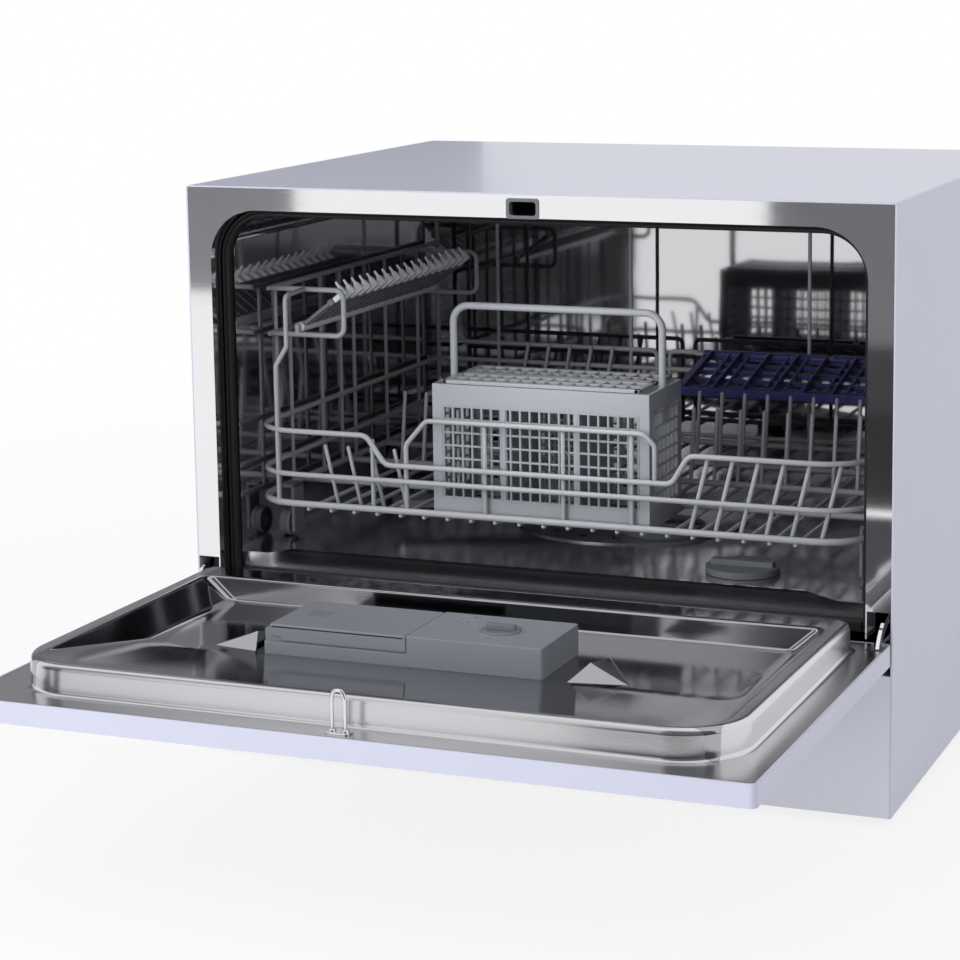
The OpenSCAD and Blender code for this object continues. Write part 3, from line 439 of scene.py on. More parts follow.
class Shape:
    """A mesh in the making."""

    def __init__(self):
        self.mesh = bmesh.new()

    def loft(self, loops, caps=True, closed=True):
        rows = [[self.mesh.verts.new(p) for p in loop] for loop in loops]
        count = len(rows[0])
        for low, high in zip(rows, rows[1:]):
            for i in range(count if closed else count - 1):
                j = (i + 1) % count
                self.mesh.faces.new((low[i], low[j], high[j], high[i]))
        if caps:
            self.mesh.faces.new(rows[0])
            self.mesh.faces.new(rows[-1])
        return self

    def turned(self, profile, centre, axis="Z", steps=48, hole=False):
        """A lathe: profile is (radius, height) pairs; with a hole the last pair meets the first."""
        loops = []
        for radius, height in list(profile) + ([profile[0]] if hole else []):
            loop = []
            for i in range(steps):
                a = 2 * math.pi * i / steps
                u, v = radius * math.cos(a), radius * math.sin(a)
                p = {"Z": (u, v, height), "X": (height, u, v), "Y": (v, height, u)}[axis]
                loop.append(Vector(p) + Vector(centre))
            loops.append(loop)
        return self.loft(loops, caps=not hole)

    def block(self, low, high, edge=1.0, corner=None):
        """A moulded block: a rounded outline in X and Y with a soft edge above and below."""
        corner = edge if corner is None else corner
        loops = []
        for z, inset in ((low[2], edge), (low[2] + 0.3 * edge, 0.3 * edge), (low[2] + edge, 0),
                         (high[2] - edge, 0), (high[2] - 0.3 * edge, 0.3 * edge), (high[2], edge)):
            ring = rounded_ring(low[0] + inset, high[0] - inset, low[1] + inset, high[1] - inset,
                                max(corner - inset, 0.15), 4)
            loops.append([(x, y, z) for x, y in ring])
        return self.loft(loops)

    def turn(self, matrix):
        bmesh.ops.transform(self.mesh, matrix=matrix, verts=self.mesh.verts)
        return self

    def done(self, name, outward=True):
        """The mesh in metres, with its faces pointing outwards."""
        if outward:
            bmesh.ops.remove_doubles(self.mesh, verts=self.mesh.verts, dist=0.0005)
            bmesh.ops.recalc_face_normals(self.mesh, faces=self.mesh.faces)
        for vertex in self.mesh.verts:
            vertex.co = at(*vertex.co)
        mesh = bpy.data.meshes.new(name)
        self.mesh.to_mesh(mesh)
        self.mesh.free()
        return mesh

    def keep(self, name, finish, stands_for, **options):
        keep(name, self.done(name), finish, stands_for, **options)


print("a rounded outline has", len(rounded_ring(0, 9, 0, 9, 2)), "points")

# %% [markdown]
# Some pieces are finished by modifiers or by a node group. `settled` runs them once on a mesh and
# gives back a plain mesh, so that nothing is left to be evaluated later.

# %% Run modifiers
def settled(name, mesh, *modifiers):
    """The mesh after its modifiers: each is (type, settings, inputs of a node group)."""
    item = linked(name, mesh)
    for kind, settings, sizes in modifiers:
        modifier = item.modifiers.new(kind.lower(), kind)
        for key, value in settings.items():
            setattr(modifier, key, value)
        for key, value in sizes.items():
            modifier[key] = value
    result = evaluated(item)
    bpy.data.objects.remove(item)
    return result


print("ready to run modifiers")

# %% [markdown]
# ## Geometry Nodes
# What repeats is made by node trees. A tree is built like a finish, with `Net`, and gets named
# inputs for its sizes. `Tree.grow` runs it on a mesh: it sets each input by the identifier of its
# socket, evaluates the object once, and keeps the plain mesh. Every tree ends by making its
# instances real.

# %% Tree
class Tree(Net):
    def __init__(self, name, **inputs):
        group = bpy.data.node_groups.new(name, "GeometryNodeTree")
        super().__init__(group)
        group.interface.new_socket("Geometry", in_out="INPUT", socket_type="NodeSocketGeometry")
        self.names = {}
        for key, default in inputs.items():
            kind = ("Int" if isinstance(default, int) else
                    "Float" if isinstance(default, float) else type(default).__name__)
            socket = group.interface.new_socket(key.replace("_", " "), in_out="INPUT",
                                                socket_type="NodeSocket" + kind)
            if kind in ("Int", "Float"):
                socket.default_value = default
            self.names[key] = socket.identifier
        paint = group.interface.new_socket("Finish", in_out="INPUT",
                                           socket_type="NodeSocketMaterial")
        self.names["Finish"] = paint.identifier
        group.interface.new_socket("Geometry", in_out="OUTPUT", socket_type="NodeSocketGeometry")
        self.start = group.nodes.new("NodeGroupInput")

    def given(self, name):
        return Value(self, self.start.outputs[name.replace("_", " ")])

    def close(self, geometry):
        real = self.add("GeometryNodeRealizeInstances", {}, geometry)
        painted = self.add("GeometryNodeSetMaterial", {}, Geometry=real,
                           Material=self.given("Finish"))
        end = self.tree.nodes.new("NodeGroupOutput")
        self.plug(end.inputs[0], painted)

    def grow(self, name, mesh, finish, **sizes):
        values = {self.names[key]: value for key, value in sizes.items()}
        values[self.names["Finish"]] = finishes[finish]
        return settled(name, mesh, ("NODES", {"node_group": self.tree}, values))


print("ready to grow meshes")

# %% [markdown]
# ### Bent wire
# The whole rack is wire: straight runs with a bend at each corner, dipped in nylon. So a wire is
# described as a bender would: a list of corner points, a bend radius at each, and a gauge. The
# tree turns those edges into curves, rounds the corners, and gives them their thickness. The ends
# are rounded over by points where the gauge shrinks.

# %% The wire tree
wire_tree = Tree("bent_wire", Sides=10, Bend_Steps=6)
bend = wire_tree.add("GeometryNodeInputNamedAttribute", {"data_type": "FLOAT"}, Name="bend")
gauge = wire_tree.add("GeometryNodeInputNamedAttribute", {"data_type": "FLOAT"}, Name="gauge")
runs = wire_tree.add("GeometryNodeMeshToCurve", {}, wire_tree.given("Geometry"))
fillet = wire_tree.add("GeometryNodeFilletCurve", {"mode": "POLY"}, Curve=runs,
                       Count=wire_tree.given("Bend_Steps"), Radius=bend, Limit_Radius=True)
section = wire_tree.add("GeometryNodeCurvePrimitiveCircle", {}, Resolution=wire_tree.given("Sides"),
                        Radius=1.0)
wire_tree.close(wire_tree.add("GeometryNodeCurveToMesh", {}, Curve=fillet, Profile_Curve=section,
                              Scale=gauge, Fill_Caps=True))
print("wire tree has", len(wire_tree.tree.nodes), "nodes")


# %% Wires
class Wires:
    """Runs of wire for one piece, in workshop millimetres."""

    def __init__(self):
        self.points, self.bends, self.gauges, self.edges = [], [], [], []

    def run(self, points, gauge, bend=0.0, tips=True):
        """One wire. A point may carry its own bend radius as a fourth number."""
        route = [(Vector(p[:3]), p[3] if len(p) > 3 else bend, gauge) for p in points]
        if tips:
            for end, following in ((0, 1), (-1, -2)):
                tip = route[end][0]
                inward = (route[following][0] - tip).normalized() * gauge
                shoulder = [(tip + inward * 0.25, 0, gauge * 0.72), (tip + inward * 0.8, 0, gauge)]
                route[end] = (tip, 0, gauge * 0.3)
                route = ([route[0]] + shoulder + route[1:] if end == 0 else
                         route[:-1] + shoulder[::-1] + [route[-1]])
        first = len(self.points)
        self.points += [at(*point) for point, _, _ in route]
        self.bends += [radius / 1000 for _, radius, _ in route]
        self.gauges += [size / 1000 for _, _, size in route]
        self.edges += [(i, i + 1) for i in range(first, len(self.points) - 1)]
        return self

    def mesh(self, name, finish="coated_wire", sides=10, bend_steps=6):
        plain = bpy.data.meshes.new(name)
        plain.from_pydata(self.points, self.edges, [])
        for key, values in (("bend", self.bends), ("gauge", self.gauges)):
            plain.attributes.new(key, "FLOAT", "POINT").data.foreach_set("value", values)
        return wire_tree.grow(name, plain, finish, Sides=sides, Bend_Steps=bend_steps)

    def keep(self, name, stands_for, sides=10):
        keep(name, self.mesh(name, sides=sides), "coated_wire", stands_for, soft_below=None)


print("a straight wire has", len(Wires().run([(0, 0, 0), (9, 0, 0)], 1).points), "points")

# %% [markdown]
# ## The rack
# Heavy rails carry the load, lighter wires make the fence, and the thinnest are the tines that
# hold plates. The numbers are the ones the solid model uses, so each wire lies where its plain
# solid does.

# %% Rack sizes
RAIL, FRAME, TINE = 2.6, 2.1, 1.7
FRONT_Y, BACK_Y, SIDE_X, CORNER = 34.0, 404.0, 245.0, 38.0
LOW, MID, HIGH = 189.0, 212.0, 246.0
DIP, KEEP, SIDE_TOP, BACK_TOP = 224.0, 260.0, 351.0, 379.0
SHELF_Z, FLOOR_Z = 262.0, 185.2
FLOOR_X = [19.5 * i for i in range(-10, 11)]
SIDE_START, WELD = 71, 3.3
BEHIND = FRONT_Y + WELD
print("rack:", 2 * SIDE_X, "mm wide and", BACK_Y - FRONT_Y, "mm deep between its wires")

# %% [markdown]
# The front fence dips in the middle to let cups in. Uprights are welded behind it, some of them
# leaning, and one short upright sits in the bend of the corner.

# %% Front fence
fence = Wires()
FENCE_END = 74
for height, gauge_mm in ((LOW, RAIL), (MID, FRAME)):
    fence.run([(-SIDE_X, FENCE_END, height), (-SIDE_X, FRONT_Y, height, CORNER),
               (SIDE_X, FRONT_Y, height, CORNER), (SIDE_X, FENCE_END, height)],
              gauge_mm, tips=False)
fence.run([(-SIDE_X, FENCE_END, HIGH), (-SIDE_X, FRONT_Y, HIGH, CORNER), (-145, FRONT_Y, HIGH, 9),
           (-129, FRONT_Y, DIP, 9), (101, FRONT_Y, DIP, 9), (114, FRONT_Y, HIGH, 9),
           (SIDE_X, FRONT_Y, HIGH, CORNER), (SIDE_X, FENCE_END, HIGH)], FRAME, tips=False)
fence.run([(-113, BEHIND, LOW - 2), (-113, BEHIND, KEEP - 20, 8), (-95, FRONT_Y + 1, KEEP, 8),
           (79, FRONT_Y + 1, KEEP, 8), (87, BEHIND, KEEP - 9, 5), (87, BEHIND, DIP - 3)],
          FRAME - 0.2)
fence.run([(-222, BEHIND, LOW - 3), (-222, BEHIND, 296, 6), (-215, BEHIND + 5, 310, 6),
           (-215, BEHIND + 5, 350, 5), (-215, 76, 351)], FRAME - 0.2)
for x, top in ((-141, 243), (-48, KEEP + 1), (15, KEEP + 1), (69, KEEP + 1)):
    fence.run([(x, BEHIND, LOW - 3), (x, BEHIND, top)], TINE)
for i in range(5):
    x = 113.5 + 19.2 * i
    fence.run([(x, BEHIND, LOW - 3), (x + 15, BEHIND, HIGH + 1)], TINE)
inner, bend_x = CORNER - WELD, SIDE_X - CORNER
fence.run([(x, FRONT_Y + CORNER - math.sqrt(inner ** 2 - (x - bend_x) ** 2), height)
           for x, height in ((213, LOW - 1), (227, HIGH + 1))], TINE)
fence.keep("fence_wires", "rack_front_fence", sides=12)

# %% [markdown]
# The floor wires run from front to back under the rail, on four cross rails. Behind the front
# rail four short tines lean to the left, and two rows of taller ones stand across the rack for
# plates.

# %% Floor and tines
floor_wires = Wires()
for x in FLOOR_X:
    floor_wires.run([(x, FRONT_Y - 1.6, FLOOR_Z), (x, BACK_Y + 1.6, FLOOR_Z)], TINE)
for y in (124, 209, 284, 374):
    floor_wires.run([(-SIDE_X, y, LOW), (SIDE_X, y, LOW)], RAIL)
for x in FLOOR_X[1:5]:
    floor_wires.run([(x, 48, FLOOR_Z), (x - 9, 44, 235)], TINE - 0.2)
floor_wires.keep("floor_wires", "rack_floor")

tines = Wires()
for y in (209, 284):
    for x in FLOOR_X:
        tines.run([(x, y, FLOOR_Z), (x, y + 10, HIGH + 2)], TINE)
tines.keep("plate_tines", "tine_rows")

# %% [markdown]
# The left side carries two loops of wire for the folding cup shelf, and the back is taller than
# the rest so that plates don't slide off. A thin wire behind the basket is the hinge of the other
# shelf.

# %% Left side
def side_wires(x, rails, uprights):
    """Rails along one side of the rack, and uprights on them."""
    wires = Wires()
    for height, gauge_mm in rails:
        wires.run([(x, SIDE_START, height), (x, BACK_Y, height)], gauge_mm, tips=height > KEEP)
    for y in uprights:
        wires.run([(x, y, LOW), (x, y, SIDE_TOP)], TINE)
    return wires


BOTH_SIDES = ((LOW, RAIL), (MID, FRAME), (HIGH, FRAME))
left = side_wires(-SIDE_X, (*BOTH_SIDES, (315, FRAME), (SIDE_TOP, FRAME)),
                  (84, 108, 164, 200, 226, 290, 358))
COMB_X, COMB_Z, LOOP_Z, LOOP_X = -222, 320, 315, -181.5
for y in (76, 344):
    left.run([(-SIDE_X, y, LOOP_Z), (LOOP_X, y, LOOP_Z, 7), (LOOP_X, y, SIDE_TOP, 7),
              (-SIDE_X, y, SIDE_TOP)], FRAME)
    left.run([(COMB_X, y, LOOP_Z - 2), (COMB_X, y, COMB_Z + 4)], FRAME)
left.run([(COMB_X, 76, COMB_Z), (COMB_X, 344, COMB_Z)], TINE)
left.keep("left_side_wires", "rack_left_frame")

# %% Right side
right_side = side_wires(SIDE_X, (*BOTH_SIDES, (SIDE_TOP, FRAME)), range(74, 385, 54))
right_side.keep("right_side_wires", "rack_right_frame")

# %% Back
back = Wires()
back.run([(-SIDE_X, BACK_Y, 186), (-SIDE_X, BACK_Y, BACK_TOP, 10), (SIDE_X, BACK_Y, BACK_TOP, 10),
          (SIDE_X, BACK_Y, 186)], FRAME)
for height in (LOW, HIGH):
    back.run([(-SIDE_X, BACK_Y, height), (SIDE_X, BACK_Y, height)], FRAME)
for outer_x, x in ((-SIDE_X, -36), (SIDE_X, -24)):
    back.run([(outer_x, BACK_Y, SHELF_Z), (x, BACK_Y, SHELF_Z, 5), (x, BACK_Y, LOW)], FRAME - 0.1)
for x in (-186, -60, 102, 186):
    back.run([(x, BACK_Y, LOW), (x, BACK_Y, BACK_TOP)], TINE)
for x in range(-170, -89, 20):
    back.run([(x, BACK_Y - WELD, LOW - 1), (x + 14, BACK_Y - WELD, SHELF_Z + 1)], TINE)
PIVOT_Y = BACK_Y - 8
for x in (4, 123, 237):
    back.run([(x, BACK_Y, SHELF_Z), (x, PIVOT_Y, SHELF_Z)], TINE - 0.2)
back.run([(1, PIVOT_Y, SHELF_Z), (240, PIVOT_Y, SHELF_Z)], TINE)
back.keep("back_wires", "rack_back_frame")

# %% [markdown]
# ### Rollers
# Each roller is a turned wheel with a groove and a hub, and its bracket is a moulded clip that
# hangs from the bottom rail. A wheel is one body and turns on the clip's axle, so it is its own
# piece.

# %% Rollers and brackets
ROLLER_R, ROLLER_W, ROLLER_Z = 11.0, 9.0, 161.1
HALF_W = ROLLER_W / 2
CLIP_GAP, CLIP_HALF = 4.5, 9
WHEEL = [(3.05, HALF_W), (5.5, HALF_W), (6.0, HALF_W - 1.2), (8.6, HALF_W - 1.2), (9.2, HALF_W),
         (10.4, HALF_W), (ROLLER_R, HALF_W - 0.9), (ROLLER_R, 1.4), (10.3, 0.7)]
wheel_profile = [(r, -out) for r, out in WHEEL] + WHEEL[::-1]
clips = Shape()
for side, side_name in ((-1, "left"), (1, "right")):
    for y, end_name in ((88.0, "front"), (350.0, "back")):
        x = side * (SIDE_X - HALF_W - 1)
        wheel = Shape().turned(wheel_profile, (x, y, ROLLER_Z), "X", 48, hole=True)
        wheel.keep("wheel_%s_%s" % (end_name, side_name), "light_grey_plastic",
                   "roller_%s_%s" % (end_name, side_name), soft_below=math.radians(30))
        inner_x = side * (SIDE_X - HALF_W - 1 - HALF_W - CLIP_GAP)
        for reach, foot in ((inner_x + side * 3, ROLLER_Z - 7), (side * (SIDE_X - FRAME), LOW + 1)):
            low_x, high_x = sorted((inner_x, reach))
            clips.block((low_x, y - CLIP_HALF, foot), (high_x, y + CLIP_HALF, LOW + 4), 0.8, 1.2)
        low_x, high_x = sorted((inner_x + side, inner_x + side * (ROLLER_W + 5.5)))
        clips.turned([(2.4, low_x), (3.0, low_x + 0.6), (3.0, high_x - 0.8), (2.2, high_x)],
                     (0, y, ROLLER_Z), "X", 24)
clips.keep("roller_clips", "light_grey_plastic", "roller_brackets")

# %% [markdown]
# ## The cutlery basket
# The basket is moulded plastic: three cells with walls of fine lattice and a lid of crossed bars.
# A lattice follows one rule in every wall, so one tree makes it, with the size of the field, the
# count of bars each way and the section of a bar as inputs. The bars are swept from a rectangle
# with rounded corners, which gives them the soft edges of a moulding.

# %% The lattice tree
lattice_tree = Tree("lattice", Width=0.1, Height=0.1, Columns=8, Rows=6, Upright=0.003,
                    Crossbar=0.003, Depth=0.002)
BAR_EDGE = 0.0005


def bars(tree, count, run, spread, width, along_x):
    """Equal bars side by side: count + 1 of them over the spread, each as long as the run."""
    run_axis, step_axis = ("X", "Z") if along_x else ("Z", "X")
    half, depth = width * 0.5, tree.given("Depth")
    line = tree.add("GeometryNodeCurvePrimitiveLine", {},
                    Start=tree.add("ShaderNodeCombineXYZ", {}, **{run_axis: half * -1}),
                    End=tree.add("ShaderNodeCombineXYZ", {}, **{run_axis: run + half}))
    outline = tree.add("GeometryNodeCurvePrimitiveQuadrilateral", {},
                       Width=width if along_x else depth, Height=depth if along_x else width)
    eased = tree.add("GeometryNodeFilletCurve", {"mode": "POLY"}, Curve=outline, Count=2,
                     Radius=BAR_EDGE, Limit_Radius=True)
    bar = tree.add("GeometryNodeCurveToMesh", {}, Curve=line, Profile_Curve=eased, Fill_Caps=True)
    step = tree.add("ShaderNodeCombineXYZ", {}, **{step_axis: spread / count})
    places = tree.add("GeometryNodeMeshLine", {"mode": "OFFSET", "count_mode": "TOTAL"},
                      Count=count + 1, Offset=step)
    return tree.add("GeometryNodeInstanceOnPoints", {}, Points=places, Instance=bar)


field_width, field_height = lattice_tree.given("Width"), lattice_tree.given("Height")
both = lattice_tree.tree.nodes.new("GeometryNodeJoinGeometry")
for layer in (bars(lattice_tree, lattice_tree.given("Columns"), field_height, field_width,
                   lattice_tree.given("Upright"), False),
              bars(lattice_tree, lattice_tree.given("Rows"), field_width, field_height,
                   lattice_tree.given("Crossbar"), True)):
    lattice_tree.tree.links.new(layer.socket, both.inputs[0])
lattice_tree.close(Value(lattice_tree, both.outputs[0]))
print("lattice tree has", len(lattice_tree.tree.nodes), "nodes")


# %% Lattices in place
def lattice(width, height, columns, rows, upright, crossbar, depth, finish="light_grey_plastic"):
    """A lattice in the X-Z plane from its lower left bar, in metres."""
    seed = bpy.data.meshes.new("seed")
    return lattice_tree.grow("lattice", seed, finish, Width=width / 1000, Height=height / 1000,
                             Columns=columns, Rows=rows, Upright=upright / 1000,
                             Crossbar=crossbar / 1000, Depth=depth / 1000)


def placed(origin, across, upward):
    """Where a lattice goes: its lower left point, its direction of width, and that of height."""
    across, upward = Vector(across), Vector(upward)
    turn = Matrix((across, upward.cross(across), upward)).transposed().to_4x4()
    return Matrix.Translation(at(*origin)) @ turn


def joined(name, *parts):
    """Lattices, each with its matrix, and ready meshes joined in one, in metres."""
    whole = bmesh.new()
    for part in parts:
        mesh, matrix = part if isinstance(part, tuple) else (part, Matrix())
        copy = mesh.copy()
        copy.transform(matrix)
        whole.from_mesh(copy)
        bpy.data.meshes.remove(copy)
    result = bpy.data.meshes.new(name)
    whole.to_mesh(result)
    whole.free()
    return result


print("ready to join meshes")

# %% [markdown]
# The walls are lattices in a frame of plain blocks: a foot, a rim, and uprights at the corners and
# at the cells.

# %% Basket lattices
BX0, BX1, BY0, BY1, BZ0, BZ1 = -92.0, 82.0, 40.6, 115.6, 187.2, 288.2
WALL, FOOT, EDGE = 2.4, 13.5, 0.5
EAST, NORTH, UP = (1, 0, 0), (0, 1, 0), (0, 0, 1)
front_field = lattice(156, 70, 20, 7, 2.6, 2.0, 1.7)
side_field = lattice(56, 70, 6, 7, 2.8, 2.2, 1.7)
floor_field = lattice(160, 61, 16, 6, 3.2, 3.2, 2.0)
parts = [(front_field, placed((BX0 + 9, y, BZ0 + 14), EAST, UP)) for y in (BY0 + 1.2, BY1 - 1.2)]
parts += [(side_field, placed((x, BY0 + 9.5, BZ0 + 14), NORTH, UP)) for x in (BX0 + 1.2, BX1 - 1.2)]
parts.append((floor_field, placed((BX0 + 7, BY0 + 7, BZ0 + 1.2), EAST, NORTH)))
print("lattices in the basket:", len(parts))

# %% Basket walls
shell = Shape()
for y in (BY0, BY1 - WALL):
    for low_z, high_z in ((BZ0, BZ0 + FOOT), (BZ1 - 16.5, BZ1)):
        shell.block((BX0, y, low_z), (BX1, y + WALL, high_z), EDGE, 0.7)
    for low_x, high_x in ((BX0, BX0 + 8.2), (BX0 + 56.2, BX0 + 59.8), (BX1 - 60.0, BX1 - 56.4),
                          (BX1 - 8.2, BX1)):
        shell.block((low_x, y + 0.05, BZ0 + 1), (high_x, y + WALL - 0.05, BZ1 - 1), EDGE, 0.7)
for x in (BX0, BX1 - WALL):
    for low_z, high_z in ((BZ0, BZ0 + FOOT), (BZ1 - 14, BZ1)):
        shell.block((x, BY0 + 1, low_z), (x + WALL, BY1 - 1, high_z), EDGE, 0.7)
    for low_y, high_y in ((BY0 + 0.1, BY0 + 8.4), (BY1 - 8.4, BY1 - 0.1)):
        shell.block((x + 0.05, low_y, BZ0 + 1), (x + WALL - 0.05, high_y, BZ1 - 1), EDGE, 0.7)
for x in (BX0 + 58.0, BX0 + 116.0):
    shell.block((x, BY0 + 1, BZ0 + 1), (x + WALL, BY1 - 1, BZ1 - 8), EDGE, 0.7)
for low, high in (((BX0 + 0.5, BY0 + 0.5), (BX1 - 0.5, BY0 + 8)),
                  ((BX0 + 0.5, BY1 - 8), (BX1 - 0.5, BY1 - 0.5)),
                  ((BX0 + 0.6, BY0 + 1), (BX0 + 8, BY1 - 1)),
                  ((BX1 - 8, BY0 + 1), (BX1 - 0.6, BY1 - 1))):
    shell.block((*low, BZ0 + 0.02), (*high, BZ0 + WALL), EDGE, 0.7)
keep("basket_walls", joined("basket_walls", *parts, shell.done("basket_shell")), "basket_grey",
     "cutlery_basket")

# %% [markdown]
# The lid is two flaps, hinged along the basket's long sides, with crossed bars that hold each
# piece of cutlery upright in its own gap. The handle is a bent wire with a thick plastic coat.

# %% Basket lids
LX0, LX1, PINS = BX0 + 8, BX1 - 8, 14
LZ0, LZ1 = BZ1 + 0.35, BZ1 + 3.25
for name, low_y, high_y, lean_y in (("front", BY0 + 0.2, 77.8, 1.0),
                                    ("back", 78.4, BY1 - 0.2, -1.0)):
    field = lattice(150, high_y - low_y - 8, PINS, 2, 2.4, 2.6, 2.2)
    border = Shape()
    for low, high in (((LX0, low_y), (LX1, low_y + 5)), ((LX0, high_y - 4), (LX1, high_y)),
                      ((LX0, low_y), (LX0 + 4.5, high_y)), ((LX1 - 4.5, low_y), (LX1, high_y))):
        border.block((*low, LZ0), (*high, LZ1), EDGE, 0.8)
    for i in range(PINS):
        x = BX0 + 12 + 150 / PINS * (i + 0.5)
        border.turned([(1.2, LZ0 + 0.2), (2.3, LZ0 + 0.7), (2.3, LZ1 - 0.6), (1.3, LZ1 - 0.1)],
                      (x, (low_y + high_y) / 2 + lean_y, 0), "Z", 12)
    grille = (field, placed((BX0 + 12, low_y + 4, BZ1 + 1.7), EAST, NORTH))
    keep("basket_flap_" + name, joined("flap", grille, border.done("border")), "basket_grey",
         "basket_lid_" + name)

# %% Basket handle
BOW_X, BOW_HALF, BOW_Y, BOW_TOP, BOW_FOOT = -5, 84.4, 78.1, 343.3, 277
left_x, right_x = BOW_X - BOW_HALF, BOW_X + BOW_HALF
handle = Wires().run([(left_x, BOW_Y, BOW_FOOT), (left_x, BOW_Y, BOW_TOP, 13),
                      (right_x, BOW_Y, BOW_TOP, 13), (right_x, BOW_Y, BOW_FOOT)], 2.85)
sockets = Shape()
for x in (BOW_X - 84.5, BOW_X + 84.5):
    sockets.block((x - 2.4, BOW_Y - 5.6, 262), (x + 2.4, BOW_Y + 5.6, BZ1 + 0.4), 0.7, 1.5)
keep("basket_bow", joined("bow", handle.mesh("bow", "basket_grey", 14, 8), sockets.done("sockets")),
     "basket_grey", "basket_handle")

# %% [markdown]
# ## The door
# The liner is one sheet of steel, drawn in a press: a flat flange, a wall, a rim with a rolled
# edge, and a dished floor that falls towards the tub so that water runs back. A loft of rounded
# rectangles makes it: each outline gives the width, the two ends, the corner radii and the height
# at one step of the profile. Solidify then gives the sheet its thickness, and a cut leaves room
# for the hinge ears.

# %% Liner profile
LINER = [  # half width, far edge, near edge, far radius, near radius, height
    (273.5, -330.0, -4.0, 3.2, 3.2, 127.9), (273.1, -329.6, -4.4, 3.0, 3.0, 128.45),
    (257.2, -312.2, -16.3, 49, 16, 128.5), (255.2, -310.2, -18.3, 47.5, 14, 128.8),
    (253.9, -308.9, -19.6, 46, 12.8, 129.8), (253.2, -308.2, -20.3, 45, 12, 131.4),
    (252.7, -307.7, -20.8, 45, 12, 144.6), (252.2, -307.2, -21.3, 44.5, 11.5, 146.6),
    (251.2, -306.2, -22.3, 43.5, 10.5, 148.1), (249.6, -304.6, -23.9, 42, 9.5, 148.9),
    (248.0, -303.4, -26.0, 40, 9, 149.0), (243.0, -301.6, -47.5, 34, 9, 149.0),
    (241.4, -300.4, -49.9, 33, 8.5, 148.8), (240.0, -298.8, -51.0, 32, 8, 148.0),
    (238.8, -294.0, -51.4, 31, 8, 146.9), (223.0, -196.0, -52.2, 19, 8, 133.1),
    (220.0, -186.0, -52.8, 17, 8, 131.8), (216.8, -178.0, -54.2, 15, 7, 131.15),
    (212.5, -170.0, -57.5, 14, 6, 131.0)]
print("liner profile has", len(LINER), "outlines")

# %% [markdown]
# Two small pyramids are stamped into the dish beside the dispenser. They turn the water aside.

# %% Drain wedges
DISH_Z, WEDGE_RISE = 131.0, 10.0


def stamped_wedge(shape, corners, peak):
    """A drawn pyramid: its base has rounded corners, and its ridges get sharper towards the top."""
    loops = []
    for rise, shrink, soft in ((-0.6, 1.0, 3.0), (0.2, 0.97, 2.8), (0.12 * WEDGE_RISE, 0.86, 2.2),
                               (0.55 * WEDGE_RISE, 0.43, 1.3), (0.9 * WEDGE_RISE, 0.10, 0.6),
                               (WEDGE_RISE, 0.03, 0.3)):
        loop = []
        for i, corner in enumerate(corners):
            tip = Vector(corner) * shrink + Vector(peak) * (1 - shrink)
            for k in range(5):
                before = (Vector(corners[i - 1]) - Vector(corner)).normalized()
                after = (Vector(corners[(i + 1) % 3]) - Vector(corner)).normalized()
                t = k / 4
                point = (tip + before * soft * (1 - t) ** 2 + after * soft * t ** 2)
                loop.append((point.x, point.y, DISH_Z + rise))
        loops.append(loop)
    return shape.loft(loops)


wedges = Shape()
stamped_wedge(wedges, ((96, -176), (140, -168), (104, -106)), (108, -158))
stamped_wedge(wedges, ((-135, -174), (-139, -106), (-172, -168)), (-141, -158))
wedges.keep("drain_wedges", "liner_steel", "door_inner_panel", replaces=False)

# %% [markdown]
# Now the sheet itself is lofted through the outlines, and the notches are cut out of it.

# %% Liner sheet
CORNER_STEPS = 12
liner_shape = Shape()
liner_shape.loft([[(x, y, z) for x, y in rounded_ring(-half, half, far, near, (far_r, near_r),
                                                      CORNER_STEPS)]
                  for half, far, near, far_r, near_r, z in LINER], caps=False)
liner_shape.mesh.verts.ensure_lookup_table()
liner_shape.mesh.faces.new(liner_shape.mesh.verts[-4 * (CORNER_STEPS + 1):])
liner_sheet = settled("liner", liner_shape.done("liner", outward=False),
                      ("SOLIDIFY", {"thickness": 0.001, "offset": -1.0,
                                    "use_even_offset": True}, {}))
notches = Shape()
for side in (-1, 1):
    low_x, high_x = sorted((side * 261.4, side * 280))
    notches.block((low_x, -24.5, 100), (high_x, 10, 140), 0.5, 1.5)
cutter = linked("cutter", notches.done("notches"))
liner_sheet = settled("liner", liner_sheet,
                      ("BOOLEAN", {"object": cutter, "operation": "DIFFERENCE"}, {}))
bpy.data.objects.remove(cutter)
keep("door_liner", liner_sheet, "liner_steel", "door_inner_panel", soft_below=math.radians(55))

# %% [markdown]
# The latch hook is a loop of thick wire that stands on the far edge of the door. The bolt in the
# cabinet's lock drops into it when the door is shut.

# %% Latch hook
HOOK_X, HOOK_Y = 4.55, -321
hook_points = [(HOOK_X, 128.6), (HOOK_X, 151, 3), (3.0, 156.2, 3), (-3.0, 156.2, 3),
               (-HOOK_X, 151, 3), (-HOOK_X, 128.6)]
hook = Wires().run([(x, HOOK_Y, *rest) for x, *rest in hook_points], 1.25, tips=False)
hook_foot = Shape().block((-8.5, HOOK_Y - 4.5, 128.4), (8.5, HOOK_Y + 4.5, 129.6), 0.4, 2.5)
for x in (-HOOK_X, HOOK_X):
    hook_foot.turned([(2.9, 129.4), (2.6, 130.4), (1.7, 131.2)], (x, HOOK_Y, 0), "Z", 16)
keep("hook_loop", joined("hook_loop", hook.mesh("hook", "bright_steel", 12, 5),
                         hook_foot.done("hook_foot")), "bright_steel", "latch_hook")

# %% [markdown]
# ### Dispenser
# The dispenser is a grey moulding in the liner's floor. A sliding lid covers the detergent cell,
# with a skirt that drops in front, and beside it a round cap closes the rinse aid tank.

